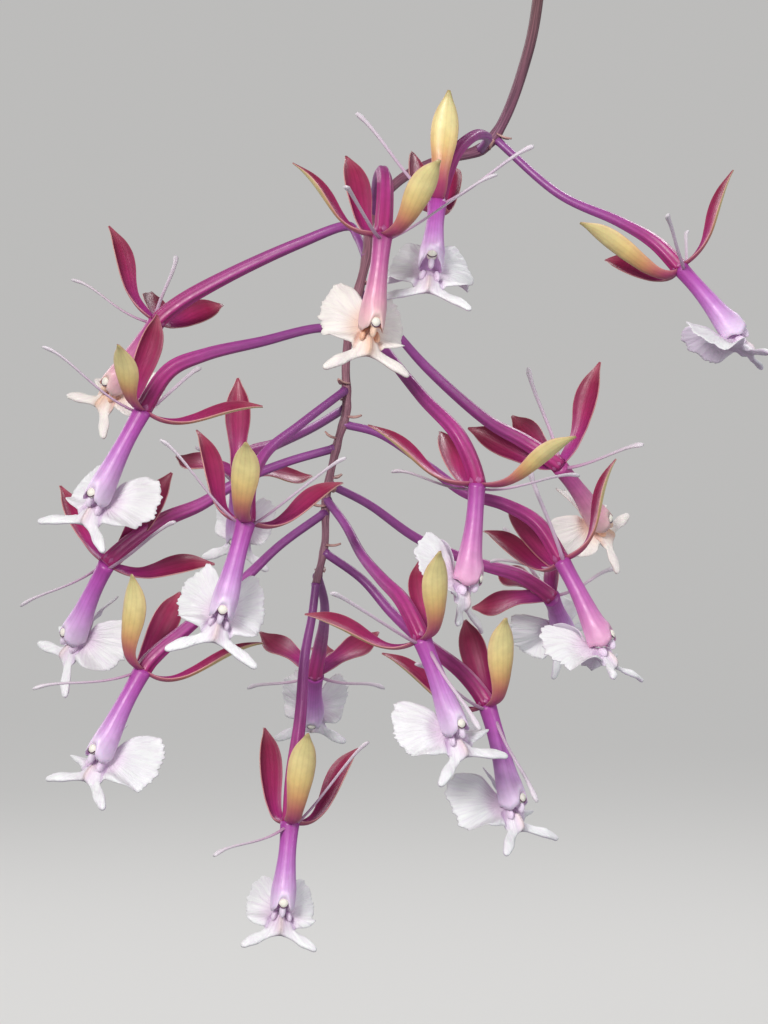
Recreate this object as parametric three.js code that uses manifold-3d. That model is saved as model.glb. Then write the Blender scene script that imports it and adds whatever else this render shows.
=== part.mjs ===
// An epidendrum orchid in a hanging basket: leafy reed canes in a square basket of stacked wooden slats, and
// one pendulous cluster of long-stalked blooms that hangs below the basket's front rim.
//
// Units are millimetres, +Z is up, and the front is -Y. The origin is the top of the hook's inner bend, where
// the hook bears on the rail or nail that it hangs from.

import * as THREE from "three";
import { mergeVertices } from "three/addons/utils/BufferGeometryUtils.js";
import Module from "manifold-3d";

const wasm = await Module();
wasm.setup();

// Clearance between two pieces that touch, and round a stem that stands in or bears another piece
const GAP = 0.3;
const ROOT_GAP = 0.42;

// Basket: pairs of slats are stacked crosswise, log-cabin fashion, and the floor slats lie in the second layer
const BASKET_BOTTOM = -245;
const SLAT_LENGTH = 156;
const SLAT_WIDTH = 12;
const SLAT_HEIGHT = 14;
const SLAT_CHAMFER = 1.2;
const SLAT_LAYERS = 5;
const FLOOR_SLATS = 3;
const CORNER = 68;
const HOLE_RADIUS = 1.8;

// Hanger: four wires through the corners, and a hook with a collar that holds their upper ends
const WIRE_RADIUS = 1.1;
const WIRE_FOOT = 9;
const HOOK_RADIUS = 10;
const HOOK_BAR_RADIUS = 1.7;
const HOOK_STEPS = 16;
const COLLAR_TOP = -36;
const COLLAR_HEIGHT = 14;
const COLLAR_RADIUS = 6.5;
const COLLAR_HOLE_OFFSET = 2.6;
const COLLAR_HOLE_DEPTH = 9;

// Growing medium
const MEDIUM_HALF_WIDTH = 61;
const MEDIUM_EDGE_DROP = 3;
const MEDIUM_CROWN = 9;
const MEDIUM_RELIEF = 2.4;
const MEDIUM_CELLS = 7;

// Canes and leaves
const CANE_RADIUS = 3.6;
const CANE_TIP_RADIUS = 2.4;
const LEAF_THICKNESS = 0.9;
const CANE_SINK = 34;

// Flower cluster: where its middle is, and how far off it was seen from the front
const CLUSTER = new THREE.Vector3(0, -105, -425);
const VIEWING_DISTANCE = 850;
const RACHIS_TOP_RADIUS = 1.5;
const RACHIS_TIP_RADIUS = 0.9;
const BRACT_LENGTH = 3.6;
const BRACT_HALF_WIDTHS = [1.2, 0.9, 0.3];
const BRACT_THICKNESS = 0.6;
const BRACT_OFFSET = 1.9;
const BRACT_CURL = 1.2;

// One bloom
const PEDICEL_RADIUS = 1.0;
const PEDICEL_MIDDLE = 1.4;
const OVARY_RADIUS = 1.9;
const OVARY_RIBS = 0.07;
const JOINT_RADIUS = 2.1;
const COLUMN_WAIST = 1.9;
const COLUMN_APEX = 3.1;
const SEPAL_REACH = 27;
const SEPAL_WIDTH = 6.4;
const SEPAL_CLAW = 3.6;
const PETAL_REACH = 28;
const SEPAL_ROOT = 1.4;
const SEPAL_ROLL = 0.35;
const ROLL_SPAN = 0.4;
const BLADE_CURL = 0.22;
const PETAL_RADII = [0.6, 0.5, 0.55, 0.65];
const PETAL_ROOT = 1;
const PETAL_DROP = 1.1;
const PETAL_BOW = 2.5;
const BLADE_THICKNESS = 0.7;
const LIP_TILT = 0.35;
const LIP_STANDOFF = 3.1;
const LIP_DROP = 2.5;
const LOBE_SWEEP = 0.55;
const LOBE_BACK = 2.6;
const CALLUS_THICKNESS = 1.6;
const LOBE_RADIUS = 12.8;
const ANTHER_RADIUS = 1.4;

// The rachis from its first bloom to its tip: x to the right, y away from the viewer, z up
const RACHIS = [
  [25.8, 30, 91.8],
  [14, 26, 88],
  [4, 20, 83],
  [-3, 12, 74.3],
  [-4.5, 4, 63],
  [-8, 0, 48.5],
  [-9.5, 0, 38],
  [-9.5, 0, 25],
  [-11.5, 0, 17.8],
  [-14.5, 0, 3.3],
  [-14.8, 0, -8],
  [-17, 0, -18],
];

// The peduncle above it, up to the tip of the cane that bears it
const PEDUNCLE = [
  [42.6, -13, 244.1],
  [43, -10, 215],
  [42, 0, 180],
  [40, 12, 145],
  [36, 24, 115],
];

// The blooms from the cluster's top to its tip. The points are as seen from the front: stalk runs from the
// rachis to the joint where the sepals spread, apex is the column's end. A sepal's or petal's tip is x, z and
// whether it stands towards the viewer, -1, or away, 1. facing is where the column's dorsal side looks, in
// degrees to the right of the viewer; without it that side looks towards the first sepal. lip scales the lip's
// side lobes.
const BLOOMS = [
  {
    name: "01",
    stalk: [[-3, 12, 74.3], [-2.3, 5, 79.3], [-1.5, -8, 83.5], [-0.3, -24, 85], [0.3, -38, 80.5]],
    joint: [-0.3, -45, 69.3],
    apex: [-2.8, -47, 46.8],
    facing: 18,
    sepals: [[14, 88, -1], [-22.8, 87.3, 1], [-9.5, 89, 1]],
    petals: [[28.3, 84.3, 1], [-9.8, 81.3, -1]],
  },
  {
    name: "02",
    stalk: [[24.2, 29, 90.8], [26, 17, 93.5], [22.5, 2, 94], [17, -10, 88.5]],
    joint: [13.3, -15, 77.3],
    apex: [11.8, -30, 62.5],
    sepals: [[16.3, 105.5, -1], [17.5, 86, 1], [7, 90, 1]],
    petals: [[37.5, 91.5, 1], [-7, 99.8, -1]],
  },
  {
    name: "03",
    stalk: [[27.6, 30, 93.5], [44, 24, 79.3], [59, 17, 72.5], [67.8, 12, 67.3]],
    joint: [74, 10, 61],
    apex: [88.3, 8, 45.5],
    facing: 92,
    lip: 0.9,
    sepals: [[49, 72.3, -1], [87.3, 85.5, 1], [55.3, 63, 1]],
    petals: [[71, 74.3, -1], [76, 70, 1]],
  },
  {
    name: "04",
    stalk: [[-4.5, 4, 63.5], [-6.5, 13, 68.5], [-9, 19, 71.5], [-21, 23, 67.3], [-38.5, 25, 59], [-51, 25, 52]],
    joint: [-56.8, 25, 47.5],
    apex: [-68.5, 30, 31.8],
    facing: -45,
    lip: 0.85,
    bare: true,
    sepals: [[-68.8, 71.5, 1], [-40.3, 51.8, 1], [-58, 55, 1]],
    petals: [[-78, 58, 1], [-52, 64, 1]],
  },
  {
    name: "05",
    stalk: [[-8.7, 0, 44.5], [-15.5, -6, 46], [-31, -16, 42.5], [-44.8, -21, 39.3], [-53.5, -22, 35.5]],
    joint: [-60.3, -20, 25.5],
    apex: [-72.3, -22, 3.8],
    facing: -35,
    sepals: [[-66.5, 41.8, -1], [-30.3, 26.3, 1], [-56.8, 49.3, 1]],
    petals: [[-85.5, 41.3, -1], [-46, 36, 1]],
  },
  {
    name: "06",
    stalk: [[-12, 0, 16], [-24.8, 4, 12.3], [-36.8, 7, 7.3], [-46, 7, 1.8], [-56, 6, -2.5]],
    joint: [-69.3, 0, -13],
    apex: [-78.5, 8, -30.8],
    facing: -60,
    sepals: [[-81, 6.5, 1], [-42.3, -13, 1], [-53, 9.8, 1]],
    petals: [[-90.8, -23.5, 1], [-52.3, -2.5, -1]],
  },
  {
    name: "07",
    stalk: [[-9.6, 0, 30.5], [-21, -20, 21.8], [-30.3, -38, 13.8], [-34, -47, 5.5]],
    joint: [-34.5, -48, -2.3],
    apex: [-40.5, -50, -25],
    facing: 3,
    sepals: [[-34.5, 17.5, -1], [-10.3, 7.3, 1], [-46.8, 20.5, 1]],
    petals: [[-9.5, 13.5, -1], [-56, 18, -1]],
  },
  {
    name: "08",
    stalk: [[-9.6, 0, 26], [-18, 14, 21], [-27, 30, 17], [-34, 42, 14]],
    joint: [-36.5, 45, 8.5],
    apex: [-37, 61, -6.5],
    facing: -10,
    lip: 0.8,
    sepals: [[-36.5, 33.5, 1], [-18, 9, 1], [-52, 14, 1]],
    petals: [[-20, 22, 1], [-47, 16, -1]],
  },
  {
    name: "09",
    stalk: [[-14.5, 0, 0], [-26, -4, -8.3], [-34.5, -8, -16.3], [-49, -13, -28.8], [-57.5, -15, -36]],
    joint: [-60.3, -15, -39.5],
    apex: [-71.8, -18, -60.3],
    facing: -40,
    sepals: [[-63, -15.5, -1], [-30.3, -32.8, 1], [-51, -20, 1]],
    petals: [[-40, -22, 1], [-87.8, -44.3, -1]],
  },
  {
    name: "10",
    stalk: [[-17, 0, -18], [-18, -2, -26], [-19.8, -5, -36], [-21, -9, -52], [-22.8, -10, -66]],
    joint: [-23.5, -10, -77.5],
    apex: [-25.3, -13, -98.3],
    facing: 5,
    lip: 0.82,
    bare: true,
    sepals: [[-19, -55.3, -1], [-6.3, -59, 1], [-30, -54, 1]],
    petals: [[-3.8, -57.5, -1], [-42.5, -86, -1]],
  },
  {
    name: "11",
    stalk: [[-16.6, 0, -16], [-15, 10, -22], [-15, 26, -28], [-16, 42, -34]],
    joint: [-17.3, 48, -40.8],
    apex: [-18, 66, -52],
    facing: 0,
    lip: 0.85,
    sepals: [[-14.5, -33, 1], [-1.3, -30, 1], [-31, -30, 1]],
    petals: [[0, -44, 1], [-34, -44, 1]],
  },
  {
    name: "12",
    stalk: [[-14.3, 0, 3], [-9.8, -8, -3], [-5.5, -18, -10.8], [-0.5, -28, -16.8], [4.8, -37, -22.5]],
    joint: [9.5, -42, -31.8],
    apex: [18.3, -44, -53.8],
    facing: 35,
    sepals: [[14, -9.8, -1], [9, -12, 1], [-19.8, -25.5, 1]],
    petals: [[24, -54.5, -1], [-13.3, -20.3, -1]],
  },
  {
    name: "13",
    stalk: [[-15, 0, -10], [-5.5, 0, -16.8], [1.8, -3, -25], [10, -9, -32.5], [20.3, -16, -40.8]],
    joint: [25.8, -20, -48.3],
    apex: [33, -22, -72.3],
    facing: 50,
    sepals: [[30.5, -26.5, -1], [20.3, -27, 1], [-0.5, -35.3, 1]],
    petals: [[38.3, -72.5, -1], [8, -38, -1]],
  },
  {
    name: "14",
    stalk: [[-7.8, 0, 48.5], [-2.3, -6, 44.3], [1.5, -11, 38.8], [9.8, -20, 28.5], [19, -28, 18.5]],
    joint: [23.3, -28, 7],
    apex: [21.8, -30, -17],
    facing: 72,
    sepals: [[48, 18.8, -1], [14, 20, 1], [-4, 21.8, 1]],
    petals: [[48.8, 9, 1], [2, 10, 1]],
  },
  {
    name: "15",
    stalk: [[-10.3, 0, 22], [-1, 3, 19.5], [11, 5, 11.5], [20.3, 5, 4.8], [30.3, 3, 1.8], [38.5, -1, -3]],
    joint: [44.5, -3, -12.3],
    apex: [55.3, -8, -32],
    facing: 62,
    sepals: [[25, -4.8, 1], [58, 13.3, 1], [31, 2, 1]],
    petals: [[26.8, -12.5, 1], [36.5, 10.3, -1]],
  },
  {
    name: "16",
    stalk: [[-6.5, 2, 55.5], [2.8, 12, 45], [11, 20, 35.8], [26.3, 26, 22.5], [35.3, 26, 17.5]],
    joint: [43.8, 25, 11.5],
    apex: [54.8, 40, -2.2],
    facing: 70,
    lip: 0.88,
    sepals: [[21, 21, 1], [54, 37.5, 1], [32, 24, 1]],
    petals: [[36, 36, 1], [64.8, 16.8, -1]],
  },
  {
    name: "17",
    stalk: [[-13.8, 0, 7], [-4, 10, 2], [9, 24, -7], [24, 34, -13], [34, 38, -16]],
    joint: [41.8, 38, -21.3],
    apex: [45.5, 58, -30],
    facing: 25,
    sepals: [[28, -14, 1], [43.3, -6, 1], [22, -24, 1]],
    petals: [[30, -4, 1], [58, -14, 1]],
  },
];

// The canes: base and way points in the basket's own frame, whose leaves spread to both sides of turn, an
// angle in degrees seen from above
const CANES = [
  {
    way: [[16, -24, -168], [19, -36, -142], [27, -62, -124], [36, -92, -128], [41, -112, -150], [42, -118, -184]],
    turn: 0,
  },
  {
    way: [[30, 10, -168], [36, 11, -140], [52, 12, -108], [76, 13, -84]],
    turn: 90,
  },
  {
    way: [[4, 30, -168], [4, 37, -138], [3, 50, -106], [2, 72, -78]],
    turn: 0,
  },
  {
    way: [[-28, -8, -168], [-34, -9, -138], [-50, -10, -104], [-72, -12, -80]],
    turn: 90,
  },
];
const LEAF_COUNT = 5;
const LEAF_LENGTH = 66;
const LEAF_WIDTH = 19;
const LEAF_DROOP = 0.1;
const LEAF_LEAN = 0.8;
const LEAVES_FROM = 0.5;
const LEAVES_TO = 0.98;

const vector = ([x, y, z]) => new THREE.Vector3(x, y, z);

// A point of the cluster that is given as seen from the front: what is further off is spread to its true place.
function seen([x, y, z]) {
  const spread = (VIEWING_DISTANCE + y) / VIEWING_DISTANCE;
  return new THREE.Vector3(x * spread, y, z * spread).add(CLUSTER);
}

// The true place of a tip that is reach from a joint, of which the front view gives only x and z.
function seenTip(joint, [x, z, side], reach) {
  const depth = joint.y - CLUSTER.y;
  const flat = seen([x, depth, z]).distanceTo(joint);
  const away = Math.sqrt(Math.max(reach ** 2 - flat ** 2, 9));
  return seen([x, depth + side * away, z]);
}

// Solids

function toSolid(geometry) {
  const bare = new THREE.BufferGeometry();
  const source = geometry.index ? geometry.toNonIndexed() : geometry;
  bare.setAttribute("position", source.getAttribute("position"));
  const merged = mergeVertices(bare, 1e-4);
  const vertProperties = merged.getAttribute("position").array;
  const triVerts = new Uint32Array(merged.index.array);
  const solid = new wasm.Manifold(new wasm.Mesh({ numProp: 3, vertProperties, triVerts }));
  if (solid.volume() > 0) return solid;
  for (let i = 0; i < triVerts.length; i += 3)
    [triVerts[i + 1], triVerts[i + 2]] = [triVerts[i + 2], triVerts[i + 1]];
  return new wasm.Manifold(new wasm.Mesh({ numProp: 3, vertProperties, triVerts }));
}

function toGeometry(solid) {
  const { vertProperties, triVerts } = solid.getMesh();
  const geometry = new THREE.BufferGeometry();
  geometry.setAttribute("position", new THREE.BufferAttribute(new Float32Array(vertProperties), 3));
  geometry.setIndex(new THREE.BufferAttribute(new Uint32Array(triVerts), 1));
  return geometry;
}

function geometryOf(points, faces) {
  const geometry = new THREE.BufferGeometry();
  geometry.setAttribute("position", new THREE.Float32BufferAttribute(points.flatMap((p) => p.toArray()), 3));
  geometry.setIndex(faces.flat());
  return geometry;
}

const joined = (solids) => solids.reduce((sum, next) => sum.add(next));

const larger = (one, other) => (other.volume() > one.volume() ? other : one);

const largestBody = (solid) => solid.decompose().reduce((best, next) => larger(best, next));

// A closed round bar along a list of points, each with its radius. Ribs raise every other side near the joint.
function stem(points, radii, sides, ribs = () => 0) {
  const last = points.length - 1;
  const vertices = [];
  let across = null;
  points.forEach((point, i) => {
    const tangent = points[Math.min(i + 1, last)].clone().sub(points[Math.max(i - 1, 0)]).normalize();
    const steep = Math.abs(tangent.x) < 0.8;
    const guide = across ?? new THREE.Vector3(steep ? 1 : 0, steep ? 0 : 1, 0);
    across = guide.clone().addScaledVector(tangent, -guide.dot(tangent)).normalize();
    const up = tangent.clone().cross(across);
    for (let k = 0; k < sides; k += 1) {
      const angle = (2 * Math.PI * k) / sides;
      const radius = radii[i] * (1 + (k % 2 ? -ribs(i) : ribs(i)));
      const rim = across.clone().multiplyScalar(Math.cos(angle)).addScaledVector(up, Math.sin(angle));
      vertices.push(point.clone().addScaledVector(rim, radius));
    }
  });
  const faces = [];
  for (let i = 0; i < last; i += 1)
    for (let k = 0; k < sides; k += 1) {
      const a = i * sides + k;
      const b = i * sides + ((k + 1) % sides);
      faces.push([a, b, b + sides], [a, b + sides, a + sides]);
    }
  for (let k = 1; k < sides - 1; k += 1) {
    faces.push([0, k + 1, k]);
    faces.push([last * sides, last * sides + k, last * sides + k + 1]);
  }
  return toSolid(geometryOf(vertices, faces));
}

// A blade of even thickness over a grid of points: the same triangles on both faces, and a rim between them.
function sheet(rows, thickness) {
  const high = rows.length;
  const wide = rows[0].length;
  const at = (i, j) => rows[Math.min(Math.max(i, 0), high - 1)][Math.min(Math.max(j, 0), wide - 1)];
  const vertices = [];
  for (const side of [0.5, -0.5])
    rows.forEach((row, i) =>
      row.forEach((point, j) => {
        const along = at(i + 1, j).clone().sub(at(i - 1, j));
        const normal = along.cross(at(i, j + 1).clone().sub(at(i, j - 1))).normalize();
        vertices.push(point.clone().addScaledVector(normal, side * thickness));
      }),
    );
  const back = high * wide;
  const faces = [];
  for (let i = 0; i < high - 1; i += 1)
    for (let j = 0; j < wide - 1; j += 1) {
      const a = i * wide + j;
      const [b, c, d] = [a + 1, a + wide + 1, a + wide];
      faces.push([a, b, c], [a, c, d], [back + a, back + c, back + b], [back + a, back + d, back + c]);
    }
  const rim = [];
  for (let j = 0; j < wide - 1; j += 1) rim.push(j);
  for (let i = 0; i < high - 1; i += 1) rim.push(i * wide + wide - 1);
  for (let j = wide - 1; j > 0; j -= 1) rim.push((high - 1) * wide + j);
  for (let i = high - 1; i > 0; i -= 1) rim.push(i * wide);
  rim.forEach((a, k) => {
    const b = rim[(k + 1) % rim.length];
    faces.push([b, a, back + a], [b, back + a, back + b]);
  });
  return toSolid(geometryOf(vertices, faces));
}

// A value between hand-set stops, each a pair of place and value.
function along(stops, t) {
  const next = stops.findIndex(([place]) => place >= t);
  if (next <= 0) return stops[Math.max(next, 0)][1];
  const [[from, low], [to, high]] = [stops[next - 1], stops[next]];
  return low + ((high - low) * (t - from)) / (to - from);
}

// Blooms

const PEDICEL_STEPS = 8;
const COLUMN_STEPS = 4;
const PEDICEL_PROFILE = [
  [0, PEDICEL_RADIUS],
  [0.5, PEDICEL_MIDDLE],
  [0.85, OVARY_RADIUS],
  [1, JOINT_RADIUS],
];
const COLUMN_PROFILE = [
  [0, JOINT_RADIUS],
  [0.2, COLUMN_WAIST],
  [0.5, 2.1],
  [0.8, 2.7],
  [1, COLUMN_APEX],
];
const SEPAL_PROFILE = [
  [0, 0.5 * SEPAL_CLAW],
  [0.25, SEPAL_CLAW],
  [0.65, SEPAL_WIDTH],
  [0.88, SEPAL_WIDTH * 0.7],
  [1, 0.9],
];
const SEPAL_ROWS = [0, 0.25, 0.65, 0.88, 1];

// The axes of a bloom: down along the column, dorsal as it faces, and side across both.
function bloomAxes(bloom) {
  const joint = seen(bloom.joint);
  const apex = seen(bloom.apex);
  const down = apex.clone().sub(joint).normalize();
  const dorsal = seenTip(joint, bloom.sepals[0], SEPAL_REACH).sub(joint);
  if (bloom.facing !== undefined) {
    const angle = THREE.MathUtils.degToRad(bloom.facing);
    dorsal.set(Math.sin(angle), -Math.cos(angle), 0);
  }
  dorsal.addScaledVector(down, -dorsal.dot(down)).normalize();
  return { joint, apex, down, dorsal, side: down.clone().cross(dorsal) };
}

// The stalk, ovary and column as one bar; grow widens it, to cut what has to stay clear of it.
function bloomStem(bloom, grow = 0) {
  const { joint, apex } = bloomAxes(bloom);
  const column = [0, 1 / 3, 2 / 3, 1].map((share) => joint.clone().lerp(apex, share));
  const way = [...bloom.stalk.map(seen), ...column];
  const curve = new THREE.CatmullRomCurve3(way, false, "centripetal");
  const turn = bloom.stalk.length / (way.length - 1);
  const points = [];
  const radii = [];
  for (let i = 0; i < PEDICEL_STEPS; i += 1) {
    const t = i / PEDICEL_STEPS;
    points.push(curve.getPoint(t * turn));
    radii.push(along(PEDICEL_PROFILE, t) + grow);
  }
  for (let i = 0; i <= COLUMN_STEPS; i += 1) {
    const t = i / COLUMN_STEPS;
    points.push(curve.getPoint(turn + t * (1 - turn)));
    radii.push(along(COLUMN_PROFILE, t) + grow);
  }
  return stem(points, radii, 6, (i) => (i > 4 && i < PEDICEL_STEPS ? OVARY_RIBS : 0));
}

// A sepal leaves the joint outwards, sweeps back along the stalk and flares again to its tip. One that stands
// sideways rolls a little, so that its outer face shows from the front if it stands behind, and else its inner.
function sepal({ joint, down }, seenPlace) {
  const tip = seenTip(joint, seenPlace, SEPAL_REACH);
  const outward = tip.clone().sub(joint);
  const drop = outward.dot(down);
  outward.addScaledVector(down, -drop);
  const reach = outward.length();
  outward.normalize();
  const place = (out, low) => joint.clone().addScaledVector(outward, out).addScaledVector(down, low);
  const curve = new THREE.CubicBezierCurve3(
    place(SEPAL_ROOT, 0),
    place(5.5 + 0.25 * reach, 1.2),
    place(3.5 + 0.45 * reach, 0.62 * drop),
    tip,
  );
  const across = down.clone().cross(outward);
  const fullRoll = -seenPlace[2] * SEPAL_ROLL * across.y;
  const rows = SEPAL_ROWS.map((t) => {
    const middle = curve.getPoint(t);
    const tangent = curve.getTangent(t);
    const lean = across.clone().applyAxisAngle(tangent, fullRoll * Math.min(1, t / ROLL_SPAN));
    const outer = lean.clone().cross(tangent).normalize();
    const half = along(SEPAL_PROFILE, t) / 2;
    const curl = BLADE_CURL * half;
    return [-1, 0, 1].map((j) =>
      middle.clone().addScaledVector(lean, j * half).addScaledVector(outer, j === 0 ? -curl : 0),
    );
  });
  return sheet(rows, BLADE_THICKNESS);
}

// A petal is a thread with a slightly wider tip.
function petal({ joint, down }, tip) {
  const outward = tip.clone().sub(joint);
  const root = outward.clone().addScaledVector(down, -outward.dot(down)).setLength(PETAL_ROOT).add(joint);
  root.addScaledVector(down, PETAL_DROP);
  const bend = joint.clone().addScaledVector(outward, 0.45).addScaledVector(down, PETAL_BOW);
  const curve = new THREE.QuadraticBezierCurve3(root, bend, tip);
  return stem(curve.getPoints(PETAL_RADII.length - 1), PETAL_RADII, 3);
}

function anther({ apex, down, dorsal }) {
  const ball = new THREE.OctahedronGeometry(ANTHER_RADIUS, 0);
  const place = apex.clone().addScaledVector(dorsal, COLUMN_APEX - 0.5).addScaledVector(down, -0.8);
  ball.translate(place.x, place.y, place.z);
  return toSolid(ball);
}

function bloomSolid(bloom) {
  const axes = bloomAxes(bloom);
  const pieces = [bloomStem(bloom), anther(axes)];
  for (const tip of bloom.sepals) pieces.push(sepal(axes, tip));
  for (const tip of bloom.petals) pieces.push(petal(axes, seenTip(axes.joint, tip, PETAL_REACH)));
  return joined(pieces);
}

// Lips

// The lip's blade stands just behind the column's end and tilts to it: p and q run in the blade, up lifts off it.
function lipPlace({ apex, down, dorsal, side }) {
  const run = down.clone().multiplyScalar(Math.cos(LIP_TILT)).addScaledVector(dorsal, Math.sin(LIP_TILT));
  const lift = dorsal.clone().multiplyScalar(-Math.cos(LIP_TILT)).addScaledVector(down, Math.sin(LIP_TILT));
  return (p, q, up) =>
    apex
      .clone()
      .addScaledVector(dorsal, -LIP_STANDOFF)
      .addScaledVector(down, LIP_DROP)
      .addScaledVector(side, p)
      .addScaledVector(run, q)
      .addScaledVector(lift, up);
}

// The lip's outline on its right-hand half, in the blade's own p and q: a side lobe with a scalloped edge that
// is swept back beside the column, then a narrow lobule of the mid-lobe.
const SIDE_LOBE = [
  [86, 0.3],
  [72, 0.92],
  [60, 1.06],
  [44, 1.02],
  [28, 0.99],
  [12, 0.94],
  [-4, 0.88],
  [-20, 0.8],
  [-36, 0.62],
];

// The rest of that half: the notch under the side lobe, the lobule's edges and tip, and the cleft between both
const LOBULE = [
  [3.2, 2.6],
  [9.9, 7.2],
  [10.4, 8.6],
  [8.8, 9.7],
  [0.6, 6.2],
];

function lipOutline(size) {
  const radius = size * LOBE_RADIUS;
  const lobe = SIDE_LOBE.map(([degrees, share]) => {
    const angle = THREE.MathUtils.degToRad(degrees);
    const out = share * radius * Math.cos(angle);
    const back = LOBE_BACK + share * radius * Math.sin(angle);
    return [out * Math.cos(LOBE_SWEEP), -back, out * Math.sin(LOBE_SWEEP)];
  });
  return [...lobe, ...LOBULE.map(([out, low]) => [out, low, 0])];
}

function lipSolid(bloom) {
  const place = lipPlace(bloomAxes(bloom));
  const half = lipOutline(bloom.lip ?? 1);
  const outline = [...half, ...half.map(([p, q, lift]) => [-p, q, lift]).reverse()];
  const sides = [1, -1].flatMap((face) => [
    place(0, 0, (face * CALLUS_THICKNESS) / 2),
    ...outline.map(([p, q, lift]) => place(p, q, lift + (face * BLADE_THICKNESS) / 2)),
  ]);
  const count = outline.length;
  const faces = outline.flatMap((_, i) => {
    const [a, b] = [1 + i, 1 + ((i + 1) % count)];
    const [c, d] = [a + count + 1, b + count + 1];
    return [[0, a, b], [count + 1, d, c], [b, a, c], [b, c, d]];
  });
  return toSolid(geometryOf(sides, faces));
}

// Peduncle and rachis

const AXIS_STEPS = 28;
const axisCurve = new THREE.CatmullRomCurve3([...PEDUNCLE, ...RACHIS].map(seen), false, "centripetal");

function axisBar(grow = 0) {
  const points = axisCurve.getPoints(AXIS_STEPS);
  points[0].addScaledVector(axisCurve.getTangent(0), -grow);
  points[AXIS_STEPS].addScaledVector(axisCurve.getTangent(1), grow);
  const radii = points.map((_, i) =>
    THREE.MathUtils.lerp(RACHIS_TOP_RADIUS, RACHIS_TIP_RADIUS, i / AXIS_STEPS) + grow,
  );
  return stem(points, radii, 6);
}

// A bract is a small pointed scale on the rachis, just above the root of a stalk.
function bract(bloom) {
  const [root, next] = bloom.stalk.slice(0, 2).map(seen);
  const lead = next.clone().sub(root).normalize();
  const places = Array.from({ length: 201 }, (_, i) => i / 200);
  const nearest = places.reduce((best, t) =>
    axisCurve.getPoint(t).distanceTo(root) < axisCurve.getPoint(best).distanceTo(root) ? t : best,
  );
  const upstream = axisCurve.getTangent(nearest).negate();
  const start = axisCurve.getPoint(nearest).addScaledVector(upstream, BRACT_OFFSET);
  lead.addScaledVector(upstream, -lead.dot(upstream) * 0.8).normalize();
  const across = lead.clone().cross(upstream).normalize();
  const rows = [0, 0.5, 1].map((t, i) => {
    const middle = start.clone().addScaledVector(lead, 0.5 + t * BRACT_LENGTH);
    middle.addScaledVector(upstream, BRACT_CURL * t * t);
    return [-1, 1].map((j) => middle.clone().addScaledVector(across, j * BRACT_HALF_WIDTHS[i]));
  });
  return sheet(rows, BRACT_THICKNESS);
}

// The last bloom ends the rachis, and the stalk of one runs back along it: those two have no bract.
function raceme() {
  const bracts = BLOOMS.filter(({ bare }) => !bare).map(bract);
  return joined([axisBar(), ...bracts]);
}

// Canes

function leaf(root, outward, length, width, droop) {
  const up = new THREE.Vector3(0, 0, 1);
  const across = outward.clone().cross(up).normalize();
  const curve = new THREE.CubicBezierCurve3(
    root,
    root.clone().addScaledVector(outward, 0.3 * length).addScaledVector(up, 0.32 * length),
    root.clone().addScaledVector(outward, 0.7 * length).addScaledVector(up, (0.36 - droop) * length),
    root.clone().addScaledVector(outward, 0.92 * length).addScaledVector(up, (0.15 - 1.7 * droop) * length),
  );
  const rows = [0, 0.25, 0.55, 0.82, 1].map((t, i) => {
    const half = (width / 2) * [0.18, 0.85, 1, 0.72, 0.1][i];
    const normal = across.clone().cross(curve.getTangent(t)).normalize();
    return [-1, 0, 1].map((j) =>
      curve.getPoint(t).addScaledVector(across, j * half).addScaledVector(normal, j === 0 ? -BLADE_CURL * half : 0),
    );
  });
  return sheet(rows, LEAF_THICKNESS);
}

const CANE_STEPS = 9;

function caneCurve({ way }) {
  const base = vector(way[0]);
  const points = [base.clone().setZ(base.z - CANE_SINK), ...way.map(vector)];
  return new THREE.CatmullRomCurve3(points, false, "centripetal");
}

function caneBar(cane, grow = 0) {
  const points = caneCurve(cane).getPoints(CANE_STEPS);
  points[0].z -= grow;
  const radii = points.map((_, i) => THREE.MathUtils.lerp(CANE_RADIUS, CANE_TIP_RADIUS, i / CANE_STEPS) + grow);
  return stem(points, radii, 6);
}

function caneSolid(cane) {
  const curve = caneCurve(cane);
  const lean = curve.getPoint(1).sub(curve.getPoint(0)).setZ(0).normalize();
  const pieces = [caneBar(cane)];
  for (let i = 0; i < LEAF_COUNT; i += 1) {
    const t = LEAVES_FROM + ((LEAVES_TO - LEAVES_FROM) * i) / (LEAF_COUNT - 1);
    const angle = THREE.MathUtils.degToRad(cane.turn + (i % 2 ? 180 : 0));
    const outward = new THREE.Vector3(Math.cos(angle), Math.sin(angle), 0);
    outward.addScaledVector(lean, LEAF_LEAN).normalize();
    const root = curve.getPoint(t).addScaledVector(outward, 0.5 * CANE_TIP_RADIUS);
    const length = LEAF_LENGTH * (0.82 + 0.18 * Math.sin(Math.PI * (i / (LEAF_COUNT - 1))));
    pieces.push(leaf(root, outward, length, LEAF_WIDTH, LEAF_DROOP));
  }
  return joined(pieces);
}

// Basket

const layerBottom = (layer) => BASKET_BOTTOM + layer * (SLAT_HEIGHT + GAP);

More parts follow.
